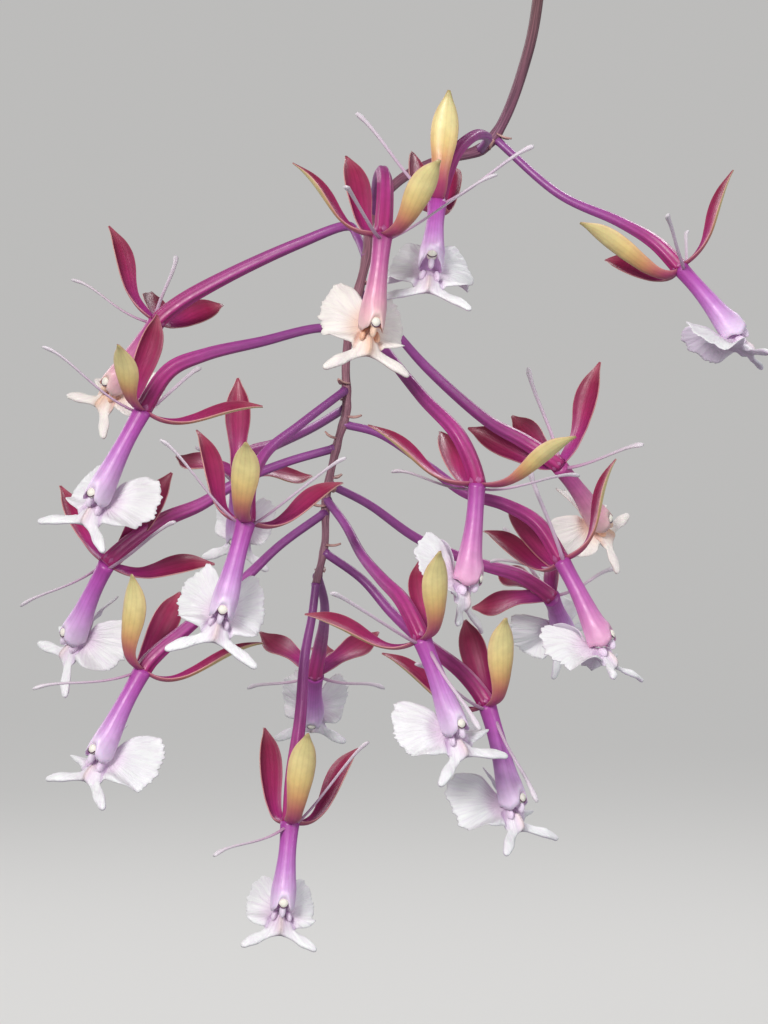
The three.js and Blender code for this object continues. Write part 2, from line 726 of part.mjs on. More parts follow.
// A bar along X with its long edges chamfered, centred on its own middle, with a hole near each end if drilled.
function slat(length, drilled) {
  const [w, h, c] = [SLAT_WIDTH / 2, SLAT_HEIGHT / 2, SLAT_CHAMFER];
  const right = [[w - c, -h], [w, c - h], [w, h - c], [w - c, h]];
  const left = right.map(([x, y]) => [-x, y]).reverse();
  const section = new THREE.Shape([...right, ...left].map(([x, y]) => new THREE.Vector2(x, y)));
  const bar = new THREE.ExtrudeGeometry(section, { depth: length, bevelEnabled: false });
  bar.translate(0, 0, -length / 2).rotateX(Math.PI / 2).rotateZ(Math.PI / 2);
  const solid = toSolid(bar);
  if (!drilled) return solid;
  const holes = [-CORNER, CORNER].map((x) => {
    const drill = new THREE.CylinderGeometry(HOLE_RADIUS, HOLE_RADIUS, 2 * SLAT_HEIGHT, 8);
    return toSolid(drill.rotateX(Math.PI / 2).translate(x, 0, 0));
  });
  return holes.reduce((rest, hole) => rest.subtract(hole), solid);
}

// The stack's even layers run along X and its odd ones along Y. The floor's slats run along Y too.
function addBasket() {
  const drilled = slat(SLAT_LENGTH, true);
  const addSlat = (name, solid, x, y, layer, crosswise) => {
    const mesh = add(name, solid, "wood");
    mesh.position.set(x, y, layerBottom(layer) + SLAT_HEIGHT / 2);
    mesh.rotation.z = crosswise ? Math.PI / 2 : 0;
  };
  for (let layer = 0; layer < SLAT_LAYERS; layer += 1) {
    const crosswise = layer % 2 === 1;
    const names = crosswise ? ["left", "right"] : ["front", "back"];
    [-CORNER, CORNER].forEach((off, i) => {
      const [x, y] = crosswise ? [off, 0] : [0, off];
      addSlat(`slat_${names[i]}_${layer + 1}`, drilled, x, y, layer, crosswise);
    });
  }
  const plain = slat(SLAT_LENGTH, false);
  for (let i = 0; i < FLOOR_SLATS; i += 1) {
    const x = ((2 * (i + 1)) / (FLOOR_SLATS + 1) - 1) * CORNER;
    addSlat(`slat_floor_${i + 1}`, plain, x, 0, 1, true);
  }
}

// Hanger

const collarBottom = COLLAR_TOP - COLLAR_HEIGHT;

// A wire has a bent foot under the lowest slat, runs up through a corner and leans in to its hole in the
// collar.
function wireSolid(signX, signY) {
  const foot = BASKET_BOTTOM - WIRE_RADIUS - GAP;
  const top = layerBottom(SLAT_LAYERS) + 2;
  const place = (x, y, z) => new THREE.Vector3(signX * x, signY * y, z);
  const points = [
    place(CORNER - WIRE_FOOT, CORNER, foot),
    place(CORNER - 1, CORNER, foot),
    place(CORNER, CORNER, foot + 1),
    place(CORNER, CORNER, top),
    place(CORNER - 1.5, CORNER - 1.5, top + 4),
    place(COLLAR_HOLE_OFFSET + 1.5, COLLAR_HOLE_OFFSET + 1.5, collarBottom - 6),
    place(COLLAR_HOLE_OFFSET, COLLAR_HOLE_OFFSET, collarBottom - 3),
    place(COLLAR_HOLE_OFFSET, COLLAR_HOLE_OFFSET, collarBottom + COLLAR_HOLE_DEPTH - GAP),
  ];
  return stem(points, points.map(() => WIRE_RADIUS), 6);
}

// The hook's bar bends aside from the collar and over in an arch whose inner top is the origin.
function hookSolid() {
  const arch = (degrees) => {
    const angle = THREE.MathUtils.degToRad(degrees);
    const [x, z] = [HOOK_RADIUS * Math.cos(angle), HOOK_RADIUS * Math.sin(angle)];
    return new THREE.Vector3(x, 0, HOOK_BAR_RADIUS - HOOK_RADIUS + z);
  };
  const way = [
    new THREE.Vector3(0, 0, COLLAR_TOP - 3),
    new THREE.Vector3(0, 0, COLLAR_TOP + 4),
    new THREE.Vector3(-0.4 * HOOK_RADIUS, 0, -2.5 * HOOK_RADIUS),
    new THREE.Vector3(-0.85 * HOOK_RADIUS, 0, -1.8 * HOOK_RADIUS),
    ...[180, 135, 90, 45, 0].map(arch),
    new THREE.Vector3(1.05 * HOOK_RADIUS, 0, -1.4 * HOOK_RADIUS),
    new THREE.Vector3(1.25 * HOOK_RADIUS, 0, -1.8 * HOOK_RADIUS),
  ];
  const section = new THREE.Shape().absarc(0, 0, HOOK_BAR_RADIUS, 0, 2 * Math.PI);
  const bar = new THREE.ExtrudeGeometry(section, {
    steps: HOOK_STEPS,
    curveSegments: 4,
    bevelEnabled: false,
    extrudePath: new THREE.CatmullRomCurve3(way, false, "centripetal"),
  });
  const collar = new THREE.CylinderGeometry(COLLAR_RADIUS, COLLAR_RADIUS, COLLAR_HEIGHT, 12);
  collar.rotateX(Math.PI / 2).translate(0, 0, collarBottom + COLLAR_HEIGHT / 2);
  const sides = 6;
  const radius = (WIRE_RADIUS + GAP) / Math.cos(Math.PI / sides);
  let solid = toSolid(bar).add(toSolid(collar));
  for (const x of [-COLLAR_HOLE_OFFSET, COLLAR_HOLE_OFFSET])
    for (const y of [-COLLAR_HOLE_OFFSET, COLLAR_HOLE_OFFSET]) {
      const drill = new THREE.CylinderGeometry(radius, radius, 2 * COLLAR_HOLE_DEPTH, sides);
      solid = solid.subtract(toSolid(drill.rotateX(Math.PI / 2).translate(x, y, collarBottom)));
    }
  return solid;
}

// Growing medium

// A block of bark and moss that fills the basket and swells above its rim, in seeded lumps.
function mediumSolid() {
  const bottom = layerBottom(2);
  const rim = layerBottom(SLAT_LAYERS) - MEDIUM_EDGE_DROP;
  const size = 2 * MEDIUM_HALF_WIDTH;
  const block = new THREE.BoxGeometry(size, size, rim - bottom, MEDIUM_CELLS, MEDIUM_CELLS, 1);
  block.translate(0, 0, (rim + bottom) / 2);
  const position = block.getAttribute("position");
  for (let i = 0; i < position.count; i += 1) {
    const [x, y, z] = [position.getX(i), position.getY(i), position.getZ(i)];
    if (z < rim - 1) continue;
    const crown = MEDIUM_CROWN * Math.cos((1.4 * x) / size) * Math.cos((1.4 * y) / size) - MEDIUM_CROWN * 0.4;
    const lumps = Math.sin(0.19 * x + 1.1 * Math.sin(0.13 * y)) * Math.cos(0.17 * y + 0.9 * Math.sin(0.11 * x));
    position.setZ(i, rim + crown + MEDIUM_RELIEF * lumps);
  }
  return CANES.reduce((rest, cane) => rest.subtract(caneBar(cane, ROOT_GAP)), toSolid(block));
}

// Assembly

const part = new THREE.Group();

const FINISHES = {
  bloom: { color: "#9c3a78", roughness: 0.4, metalness: 0 },
  lip: { color: "#f1e6ef", roughness: 0.6, metalness: 0 },
  axis: { color: "#74435a", roughness: 0.5, metalness: 0 },
  leaf: { color: "#4c7a2f", roughness: 0.45, metalness: 0 },
  bark: { color: "#5d4330", roughness: 0.95, metalness: 0 },
  wood: { color: "#9a6a3f", roughness: 0.8, metalness: 0 },
  steel: { color: "#9c9fa1", roughness: 0.35, metalness: 1 },
};

function add(name, solid, finish) {
  const mesh = new THREE.Mesh(toGeometry(solid), new THREE.MeshStandardMaterial(FINISHES[finish]));
  mesh.name = name;
  part.add(mesh);
  return mesh;
}

const axisClearance = axisBar(ROOT_GAP);
for (const bloom of BLOOMS) {
  add(`bloom_${bloom.name}`, largestBody(bloomSolid(bloom).subtract(axisClearance)), "bloom");
  add(`lip_${bloom.name}`, lipSolid(bloom), "lip");
}
add("raceme_axis", raceme(), "axis");
CANES.forEach((cane, i) => add(`cane_${i + 1}`, caneSolid(cane), "leaf"));
add("growing_medium", mediumSolid(), "bark");
addBasket();
add("wire_front_left", wireSolid(-1, -1), "steel");
add("wire_front_right", wireSolid(1, -1), "steel");
add("wire_back_left", wireSolid(-1, 1), "steel");
add("wire_back_right", wireSolid(1, 1), "steel");
add("hanger_hook", hookSolid(), "steel");

export default part;
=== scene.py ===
"""The look of an epidendrum orchid in a hanging basket.

Shapes are worked out in millimetres, +Z up, in the part's own frame, and become metres when a mesh is made.
"""

import random
from math import cos, pi, radians, sin, sqrt

import bmesh
import bpy
import numpy as np
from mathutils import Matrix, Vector, noise
from mathutils.geometry import delaunay_2d_cdt
from numpy.linalg import norm


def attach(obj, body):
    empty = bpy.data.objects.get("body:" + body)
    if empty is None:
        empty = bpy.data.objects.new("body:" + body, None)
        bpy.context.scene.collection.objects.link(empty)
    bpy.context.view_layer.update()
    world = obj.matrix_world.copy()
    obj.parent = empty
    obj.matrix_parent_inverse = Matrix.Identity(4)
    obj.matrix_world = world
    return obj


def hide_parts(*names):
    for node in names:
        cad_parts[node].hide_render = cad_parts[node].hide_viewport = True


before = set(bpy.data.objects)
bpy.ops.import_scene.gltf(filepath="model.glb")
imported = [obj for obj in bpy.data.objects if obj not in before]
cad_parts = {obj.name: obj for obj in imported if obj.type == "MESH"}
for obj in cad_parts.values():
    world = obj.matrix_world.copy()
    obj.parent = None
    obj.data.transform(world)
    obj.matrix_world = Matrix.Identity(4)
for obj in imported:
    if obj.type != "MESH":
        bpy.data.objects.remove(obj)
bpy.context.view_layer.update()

MM = 0.001
UP = np.array([0.0, 0.0, 1.0])
WHITE = (1.0, 1.0, 1.0)

# The cluster's middle in the part's frame, and how far off it was seen from the front
CLUSTER = np.array([0.0, -105.0, -425.0])
VIEWING_DISTANCE = 850.0
VIEW_HEIGHT = 256.0

# Points along and across a leaf or sepal
BLADE_ROWS = 34
BLADE_COLUMNS = 13
# Points over half of a ball, and the ribs of a ribbed bar
BALL_STEPS = 12
RIB_COUNT = 6

# The blooms, as seen from the front. stalk runs from the rachis to the joint where the sepals spread, and
# apex is the column's end. A sepal's or petal's tip is x, z and -1 towards the viewer, or 1 away from them.
# facing is where the column's dorsal side looks, in degrees to the right of the viewer. lip is the lip's
# size, and back, sweep and tilt are its own LOBE_BACK, LOBE_SWEEP and LIP_TILT. A bare bloom has no bract.
BLOOMS = [
    dict(
        stalk=[(-3, 12, 74.3), (-2.3, 5, 79.3), (-1.5, -8, 83.5), (-0.3, -24, 85), (0.3, -38, 80.5)],
        joint=(-0.3, -45, 69.3), apex=(-2.8, -47, 46.8), facing=18, tone="cream",
        sepals=[(14, 88, -1), (-22.8, 87.3, 1), (-9.5, 89, 1)],
        petals=[(28.3, 84.3, 1), (-9.8, 81.3, -1)],
    ),
    dict(
        stalk=[(24.2, 29, 90.8), (26, 17, 93.5), (22.5, 2, 94), (17, -10, 88.5)],
        joint=(13.3, -15, 77.3), apex=(11.8, -30, 62.5), tilt=0.0,
        sepals=[(16.3, 105.5, -1), (17.5, 86, 1), (7, 90, 1)],
        petals=[(37.5, 91.5, 1), (-7, 99.8, -1)],
    ),
    dict(
        stalk=[(27.6, 30, 93.5), (44, 24, 79.3), (59, 17, 72.5), (67.8, 12, 67.3)],
        joint=(74, 10, 61), apex=(88.3, 8, 45.5), facing=92, lip=0.9,
        sepals=[(49, 72.3, -1), (87.3, 85.5, 1), (55.3, 63, 1)],
        petals=[(71, 74.3, -1), (76, 70, 1)],
    ),
    dict(
        stalk=[
            (-4.5, 4, 63.5), (-6.5, 13, 68.5), (-9, 19, 71.5), (-21, 23, 67.3),
            (-38.5, 25, 59.3), (-51, 25, 52.3)
        ],
        joint=(-56.8, 25, 47.5), apex=(-68.5, 30, 31.8), facing=-45, lip=0.85, tone="cream", bare=True,
        sepals=[(-68.8, 71.5, 1), (-40.3, 51.8, 1), (-58, 55, 1)],
        petals=[(-78, 58, 1), (-52, 64, 1)],
    ),
    dict(
        stalk=[(-8.7, 0, 44.5), (-15.5, -6, 46), (-31, -16, 42.5), (-44.8, -21, 39.3), (-53.5, -22, 35.5)],
        joint=(-60.3, -20, 25.5), apex=(-72.3, -22, 3.8), facing=-33, sweep=0.32,
        sepals=[(-66.5, 41.8, -1), (-30.3, 26.3, 1), (-56.8, 49.3, 1)],
        petals=[(-85.5, 41.3, -1), (-46, 36, 1)],
    ),
    dict(
        stalk=[(-12, 0, 16), (-24.8, 4, 12.3), (-36.8, 7, 7.3), (-46, 7, 1.8), (-56, 6, -2.5)],
        joint=(-69.3, 0, -13), apex=(-78.5, 8, -30.8), facing=-60, sweep=0.7,
        sepals=[(-81, 6.5, 1), (-42.3, -13, 1), (-53, 9.8, 1)],
        petals=[(-90.8, -23.5, 1), (-52.3, -2.5, -1)],
    ),
    dict(
        stalk=[(-9.6, 0, 30.5), (-21, -20, 21.8), (-30.3, -38, 13.8), (-34, -47, 5.5)],
        joint=(-34.5, -48, -2.3), apex=(-40.5, -50, -25), facing=3,
        sepals=[(-34.5, 17.5, -1), (-10.3, 7.3, 1), (-46.8, 20.5, 1)],
        petals=[(-9.5, 13.5, -1), (-56, 18, -1)],
    ),
    dict(
        stalk=[(-9.6, 0, 26), (-18, 14, 21), (-27, 30, 17), (-34, 42, 14)],
        joint=(-36.5, 45, 8.5), apex=(-37, 61, -6.5), facing=-10, lip=0.8,
        sepals=[(-36.5, 33.5, 1), (-18, 9, 1), (-52, 14, 1)],
        petals=[(-20, 22, 1), (-47, 16, -1)],
    ),
    dict(
        stalk=[(-14.5, 0, 0), (-26, -4, -8.3), (-34.5, -8, -16.3), (-49, -13, -28.8), (-57.5, -15, -36)],
        joint=(-60.3, -15, -39.5), apex=(-71.8, -18, -60.3), facing=-40, sweep=0.62,
        sepals=[(-63, -15.5, -1), (-30.3, -32.8, 1), (-51, -20, 1)],
        petals=[(-40, -22, 1), (-87.8, -44.3, -1)],
    ),
    dict(
        stalk=[(-17, 0, -18), (-18, -2, -26), (-19.8, -5, -36), (-21, -9, -52), (-22.8, -10, -66)],
        joint=(-23.5, -10, -77.5), apex=(-25.3, -13, -98.3), facing=5, lip=0.82, back=0.8, bare=True,
        sepals=[(-19, -55.3, -1), (-6.3, -59, 1), (-30, -54, 1)],
        petals=[(-3.8, -57.5, -1), (-42.5, -86, -1)],
    ),
    dict(
        stalk=[(-16.6, 0, -16), (-15, 10, -22), (-15, 26, -28), (-16, 42, -34)],
        joint=(-17.3, 48, -40.8), apex=(-18, 66, -52), facing=0, lip=0.85,
        sepals=[(-14.5, -33, 1), (-1.3, -30, 1), (-31, -30, 1)],
        petals=[(0, -44, 1), (-34, -44, 1)],
    ),
    dict(
        stalk=[(-14.3, 0, 3), (-9.8, -8, -3), (-5.5, -18, -10.8), (-0.5, -28, -16.8), (4.8, -37, -22.5)],
        joint=(9.5, -42, -31.8), apex=(18.3, -44, -53.8), facing=35, sweep=0.42,
        sepals=[(14, -9.8, -1), (9, -12, 1), (-19.8, -25.5, 1)],
        petals=[(24, -54.5, -1), (-13.3, -20.3, -1)],
    ),
    dict(
        stalk=[(-15, 0, -10), (-5.5, 0, -16.8), (1.8, -3, -25), (10, -9, -32.5), (20.3, -16, -40.8)],
        joint=(25.8, -20, -48.3), apex=(33, -22, -72.3), facing=50, sweep=0.68,
        sepals=[(30.5, -26.5, -1), (20.3, -27, 1), (-0.5, -35.3, 1)],
        petals=[(38.3, -72.5, -1), (8, -38, -1)],
    ),
    dict(
        stalk=[(-7.8, 0, 48.5), (-2.3, -6, 44.3), (1.5, -11, 38.8), (9.8, -20, 28.5), (19, -28, 18.5)],
        joint=(23.3, -28, 7), apex=(21.8, -30, -17), facing=72, tone="rose",
        sepals=[(48, 18.8, -1), (14, 20, 1), (-4, 21.8, 1)],
        petals=[(48.8, 9, 1), (2, 10, 1)],
    ),
    dict(
        stalk=[(-10.3, 0, 22), (-1, 3, 19.5), (11, 5, 11.5), (20.3, 5, 4.8), (30.3, 3, 1.8), (38.5, -1, -3)],
        joint=(44.5, -3, -12.3), apex=(55.3, -8, -32), facing=68, sweep=0.72, tone="rose",
        sepals=[(25, -4.8, 1), (58, 13.3, 1), (31, 2, 1)],
        petals=[(26.8, -12.5, 1), (36.5, 10.3, -1)],
    ),
    dict(
        stalk=[(-6.5, 2, 55.5), (2.8, 12, 45), (11, 20, 35.8), (26.3, 26, 22.5), (35.3, 26, 17.5)],
        joint=(43.8, 25, 11.5), apex=(54.8, 40, -2.2), facing=70, lip=0.88, tone="cream",
        sepals=[(21, 21, 1), (54, 37.5, 1), (32, 24, 1)],
        petals=[(36, 36, 1), (64.8, 16.8, -1)],
    ),
    dict(
        stalk=[(-13.8, 0, 7), (-4, 10, 2), (9, 24, -7), (24, 34, -13), (34, 38, -16)],
        joint=(41.8, 38, -21.3), apex=(45.5, 58, -30), facing=25,
        sepals=[(28, -14, 1), (43.3, -6, 1), (22, -24, 1)],
        petals=[(30, -4, 1), (58, -14, 1)],
    ),
]

# Curves


def unit(vector):
    return vector / norm(vector, axis=-1, keepdims=True)


def ease(t):
    t = np.clip(t, 0, 1)
    return t * t * (3 - 2 * t)


def bell(distance, width):
    return np.exp(-((distance / width) ** 2))


def between(first, second, share):
    return first * (1 - share) + second * share


def hermite(s, start, leave, end, arrive):
    """The cubic from start to end, at s from 0 to 1, with its slopes there."""
    rest = (1 - s) ** 2
    first = (1 + 2 * s) * rest * start + s * rest * leave
    return first + s * s * (3 - 2 * s) * end + s * s * (s - 1) * arrive


def smooth(stops, t):
    """A value on the smooth line through given stops of place and value."""
    places, values = np.array(stops, float).T
    slopes = np.gradient(values, places)
    i = np.clip(np.searchsorted(places, t, side="right") - 1, 0, len(places) - 2)
    span = places[i + 1] - places[i]
    s = np.clip((t - places[i]) / span, 0, 1)
    return hermite(s, values[i], span * slopes[i], values[i + 1], span * slopes[i + 1])


def srgb(code):
    """A colour given as #rrggbb, in the linear values that shaders use."""
    values = np.array([int(code[i:i + 2], 16) for i in (1, 3, 5)]) / 255
    return np.where(values <= 0.04045, values / 12.92, ((values + 0.055) / 1.055) ** 2.4)


def mix(stops, t):
    """Colours between stops of place and #rrggbb, for an array of places."""
    places = [place for place, _ in stops]
    colours = np.array([srgb(code) for _, code in stops])
    return np.stack([np.interp(t, places, colours[:, k]) for k in range(3)], axis=-1)


def seen(point):
    """A point of the cluster that is given as seen from the front, in its true place."""
    x, y, z = point
    scale = (VIEWING_DISTANCE + y) / VIEWING_DISTANCE
    return np.array([x * scale, y, z * scale]) + CLUSTER


def seen_tip(joint, tip, reach):
    """The true place of a tip that is reach from a joint, of which the front view gives only x and z."""
    x, z, side = tip
    depth = joint[1] - CLUSTER[1]
    flat = norm(seen((x, depth, z)) - joint)
    return seen((x, depth + side * sqrt(max(reach**2 - flat**2, 9)), z))


def spline(points, places):
    """Points of the smooth curve through points, at places from 0 to 1."""
    points = np.array(points, float)
    knots = np.vstack([2 * points[0] - points[1], points, 2 * points[-1] - points[-2]])
    result = []
    for t in places:
        place = t * (len(points) - 1)
        i = min(int(place), len(points) - 2)
        p0, p1, p2, p3 = knots[i:i + 4]
        d0, d1, d2 = (sqrt(norm(b - a)) for a, b in ((p0, p1), (p1, p2), (p2, p3)))
        leave = ((p1 - p0) / d0 - (p2 - p0) / (d0 + d1) + (p2 - p1) / d1) * d1
        arrive = ((p2 - p1) / d1 - (p3 - p1) / (d1 + d2) + (p3 - p2) / d2) * d1
        result.append(hermite(place - i, p1, leave, p2, arrive))
    return np.array(result)


def bezier(corners, places):
    """Points of a Bezier curve of any degree, at places from 0 to 1."""
    layers = [np.broadcast_to(np.array(corner, float), (len(places), 3)) for corner in corners]
    t = np.array(places)[:, None]
    while len(layers) > 1:
        layers = [between(a, b, t) for a, b in zip(layers, layers[1:])]
    return layers[0]


def tangents(line):
    return unit(np.gradient(line, axis=0))


def crossways(line, guide):
    """Two directions across a line of points, carried along it without twist from a first guide."""
    across = []
    for tangent in tangents(line):
        guide = unit(guide - tangent * np.dot(guide, tangent))
        across.append(guide)
    return np.array(across), np.cross(tangents(line), across)


def noise_at(places):
    return np.array([noise.noise(Vector(place)) for place in places])


# Meshes


def spread(shape, *layers):
    """Three layers spread over a grid of points, as rows of three values."""
    return np.stack([np.broadcast_to(layer, shape) for layer in layers], axis=2).reshape(-1, 3)


class Piece:
    """The points, faces and paint of one mesh, gathered shape by shape."""

    def __init__(self):
        self.count = 0
        self.points, self.tints, self.grains, self.faces, self.slots = [], [], [], [], []

    def add(self, points, faces, tint, grain=(0, 0, 0), slot=0):
        points = np.asarray(points, float).reshape(-1, 3)
        self.points.append(points)
        self.tints.append(np.broadcast_to(tint, points.shape))
        self.grains.append(np.broadcast_to(grain, points.shape))
        self.faces += [[i + self.count for i in face] for face in faces]
        self.slots += [slot] * len(faces)
        self.count += len(points)

    def build(self, name, materials, nodes):
        """The mesh object, which stands for the named solids and rides with them."""
        mesh = bpy.data.meshes.new(name)
        mesh.from_pydata((np.concatenate(self.points) * MM).tolist(), [], self.faces)
        for material in materials:
            mesh.materials.append(material)
        mesh.polygons.foreach_set("material_index", self.slots)
        tint = mesh.attributes.new("tint", "FLOAT_COLOR", "POINT")
        tint.data.foreach_set("color", np.insert(np.concatenate(self.tints), 3, 1, axis=1).ravel())
        grain = mesh.attributes.new("grain", "FLOAT_VECTOR", "POINT")
        grain.data.foreach_set("vector", np.concatenate(self.grains).ravel())
        tidy = bmesh.new()
        tidy.from_mesh(mesh)
        bmesh.ops.recalc_face_normals(tidy, faces=tidy.faces)
        tidy.to_mesh(mesh)
        tidy.free()
        mesh.shade_smooth()
        obj = bpy.data.objects.new(name, mesh)
        bpy.context.scene.collection.objects.link(obj)
        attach(obj, "root")
        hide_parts(*nodes)


def grid_faces(high, wide, closed):
    """Quads over a grid of points, row by row; closed joins each row's end to its beginning."""
    faces = []
    for i in range(high - 1):
        for j in range(wide if closed else wide - 1):
            k = (j + 1) % wide
            faces.append([i * wide + j, i * wide + k, (i + 1) * wide + k, (i + 1) * wide + j])
    return faces


def add_rings(piece, rings, ends, tint, grain=(0, 0, 0), slot=0):
    """A closed body over rings of points and its two end points. tint may have a colour for each ring."""
    high, sides = np.shape(rings)[:2]
    last = high * sides
    faces = grid_faces(high, sides, True)
    for k in range(sides):
        n = (k + 1) % sides
        faces += [[last, n, k], [last + 1, last - sides + k, last - sides + n]]
    if np.ndim(tint) == 2:
        tint = np.concatenate([np.repeat(tint, sides, axis=0), tint[:1], tint[-1:]])
    if np.ndim(grain) == 2:
        grain = np.concatenate([grain, grain[:1], grain[-1:]])
    piece.add(np.concatenate([np.reshape(rings, (-1, 3)), ends]), faces, tint, grain, slot)


def add_tube(piece, line, guide, section, tint, grain=None, slot=0):
    """A closed bar along line. section(row) is its outline there, as offsets in two crossways directions."""
    offsets = np.array([section(i) for i in range(len(line))])
    across, up = crossways(line, guide)
    rings = line[:, None] + offsets[..., :1] * across[:, None] + offsets[..., 1:] * up[:, None]
    if grain is None:
        high, sides = rings.shape[:2]
        grain = spread((high, sides), np.linspace(0, 1, high)[:, None], np.arange(sides) / sides, 0)
    add_rings(piece, rings, (line[0], line[-1]), tint, grain, slot)


def circle(radius, sides=12, ribs=0):
    """The points of a circle, whose radius rises and falls with the ribs by a share of itself."""
    angles = np.arange(sides) * 2 * pi / sides
    reach = radius * (1 + ribs * np.cos(RIB_COUNT * angles))
    return np.stack([reach * np.cos(angles), reach * np.sin(angles)], axis=1)


def blade_grid(middle, across, wide, above, rise):
    """A grid of points about a middle line: each wide of it along across, and rise of it along above."""
    across, above = (np.broadcast_to(way, middle.shape)[:, None] for way in (across, above))
    return middle[:, None] + wide[..., None] * across + rise[..., None] * above


def add_blade(piece, grid, thickness, front_tint, back_tint, front_grain, back_grain):
    """A closed blade round a grid of points: two faces, each with its own paint, and a rim between them."""
    high, wide, _ = grid.shape
    lift = np.cross(np.gradient(grid, axis=1), np.gradient(grid, axis=0))
    lift /= np.maximum(norm(lift, axis=2, keepdims=True), 1e-9)
    half = thickness[..., None] * lift / 2
    front = grid_faces(high, wide, False)
    back = high * wide
    order = np.arange(back).reshape(high, wide)
    rim = np.concatenate([order[0, :-1], order[:-1, -1], order[-1, :0:-1], order[:0:-1, 0]]).tolist()
    faces = front + [[back + i for i in reversed(face)] for face in front]
    faces += [[b, a, back + a, back + b] for a, b in zip(rim, rim[1:] + rim[:1])]
    points, tint, grain = (
        np.concatenate([np.reshape(face, (-1, 3)) for face in pair])
        for pair in ((grid + half, grid - half), (front_tint, back_tint), (front_grain, back_grain))
    )
    piece.add(points, faces, tint, grain)


def add_ball(piece, centre, axes, radii, tint, slot=0):
    """An ellipsoid with its radii along three axes."""
    rise = np.linspace(0, pi, BALL_STEPS)[1:-1, None]
    turn = np.arange(2 * BALL_STEPS) * pi / BALL_STEPS
    scaled = np.array(radii)[:, None] * axes
    wide = np.sin(rise)
    local = spread((BALL_STEPS - 2, 2 * BALL_STEPS), wide * np.cos(turn), wide * np.sin(turn), np.cos(rise))
    rings = (centre + local @ scaled).reshape(BALL_STEPS - 2, -1, 3)
    add_rings(piece, rings, (centre + scaled[2], centre - scaled[2]), tint, slot=slot)


def fill(loops, xs, ys, stagger, gap, kind):
    """Points and faces of the area within loops, over a lattice of points that keeps a gap to them.

    Every other row of the lattice is staggered. kind is the output type of delaunay_2d_cdt.
    """
    rim = np.concatenate(loops)
    x, y = np.meshgrid(xs, ys)
    x[::2] += stagger
    lattice = np.stack([x.ravel(), y.ravel()], axis=1)
    lattice = lattice[norm(lattice[:, None] - rim, axis=2).min(axis=1) > gap]
    edges, start = [], 0
    for loop in loops:
        edges += [(start + i, start + (i + 1) % len(loop)) for i in range(len(loop))]
        start += len(loop)
    points = [Vector(point) for point in np.concatenate([rim, lattice])]
    points, _, faces, *_ = delaunay_2d_cdt(points, edges, [], kind, 1e-5)
    return np.array(points), [list(face) for face in faces]


# Materials


class Finish:
    """A material in the making: its node tree, with the Principled shader that it dresses."""

    def __init__(self, name, roughness, **values):
        self.material = bpy.data.materials.new(name)
        self.material.use_nodes = True
        self.tree = self.material.node_tree
        self.shader = self.tree.nodes["Principled BSDF"]
        self.normal = None
        for socket, value in {"Roughness": roughness, **values}.items():
            self.shader.inputs[socket.replace("_", " ")].default_value = value

    def node(self, kind, inputs, **settings):
        """The outputs of a new node, with each input set to a value or linked from another node's output."""
        node = self.tree.nodes.new("ShaderNode" + kind)
        for key, value in settings.items():
            setattr(node, key, value)
        for key, value in inputs.items():
            if isinstance(value, bpy.types.NodeSocket):
                self.tree.links.new(value, node.inputs[key])
            else:
                node.inputs[key].default_value = value
        return node.outputs

    def read(self, name, output):
        return self.node("Attribute", {}, attribute_name=name)[output]

    def maths(self, operation, first, second=0.0):
        return self.node("Math", {0: first, 1: second}, operation=operation)[0]

    def noise(self, scale, detail=3.0, roughness=0.55):
        """Noise of a scale in the object's own metres, or of three scales along its grain's directions."""
        if isinstance(scale, tuple):
            grain = self.read("grain", "Vector")
            vector = self.node("VectorMath", {0: grain, 1: scale}, operation="MULTIPLY")["Vector"]
            scale = 1.0
        else:
            vector = self.node("TexCoord", {})["Object"]
        inputs = {"Vector": vector, "Scale": scale, "Detail": detail, "Roughness": roughness}
        return self.node("TexNoise", inputs)["Fac"]

    def ramp(self, value, low, high, to_low=0.0, to_high=1.0):
        inputs = {"Value": value, "From Min": low, "From Max": high, "To Min": to_low, "To Max": to_high}
        return self.node("MapRange", inputs)["Result"]

    def blend(self, factor, first, second, kind="MIX"):
        """Two colours blended. Each is a socket or three values."""
        first, second = ((*colour, 1) if isinstance(colour, tuple) else colour for colour in (first, second))
        return self.node("Mix", {0: factor, 6: first, 7: second}, data_type="RGBA", blend_type=kind)[2]

    def shade(self, value, low, high, dark, light):
        return self.blend(self.ramp(value, low, high), dark, light)

    def paint(self, *shades):
        """Colours the shader with the mesh's own tint times each shade."""
        colour = self.read("tint", "Color")
        for shade in shades:
            colour = self.blend(1.0, colour, shade, "MULTIPLY")
        self.tree.links.new(colour, self.shader.inputs["Base Color"])

    def roughen(self, value, low, high):
        self.tree.links.new(self.ramp(value, 0.3, 0.7, low, high), self.shader.inputs["Roughness"])

    def bump(self, height, strength, distance):
        """Lifts the shader's normal by a height, on top of the bumps that it has."""
        inputs = {"Height": height, "Strength": strength, "Distance": distance}
        if self.normal is not None:
            inputs["Normal"] = self.normal
        self.normal = self.node("Bump", inputs)["Normal"]
        self.tree.links.new(self.normal, self.shader.inputs["Normal"])


# Dark stripes along the grain: veins on the sepals, and painted shade in the grooves between the ribs on the
# stalks
VEIN_AND_GROOVE_SHADE_COUNT = 5.0
VEIN_AND_GROOVE_SHADE_WANDER = 0.08


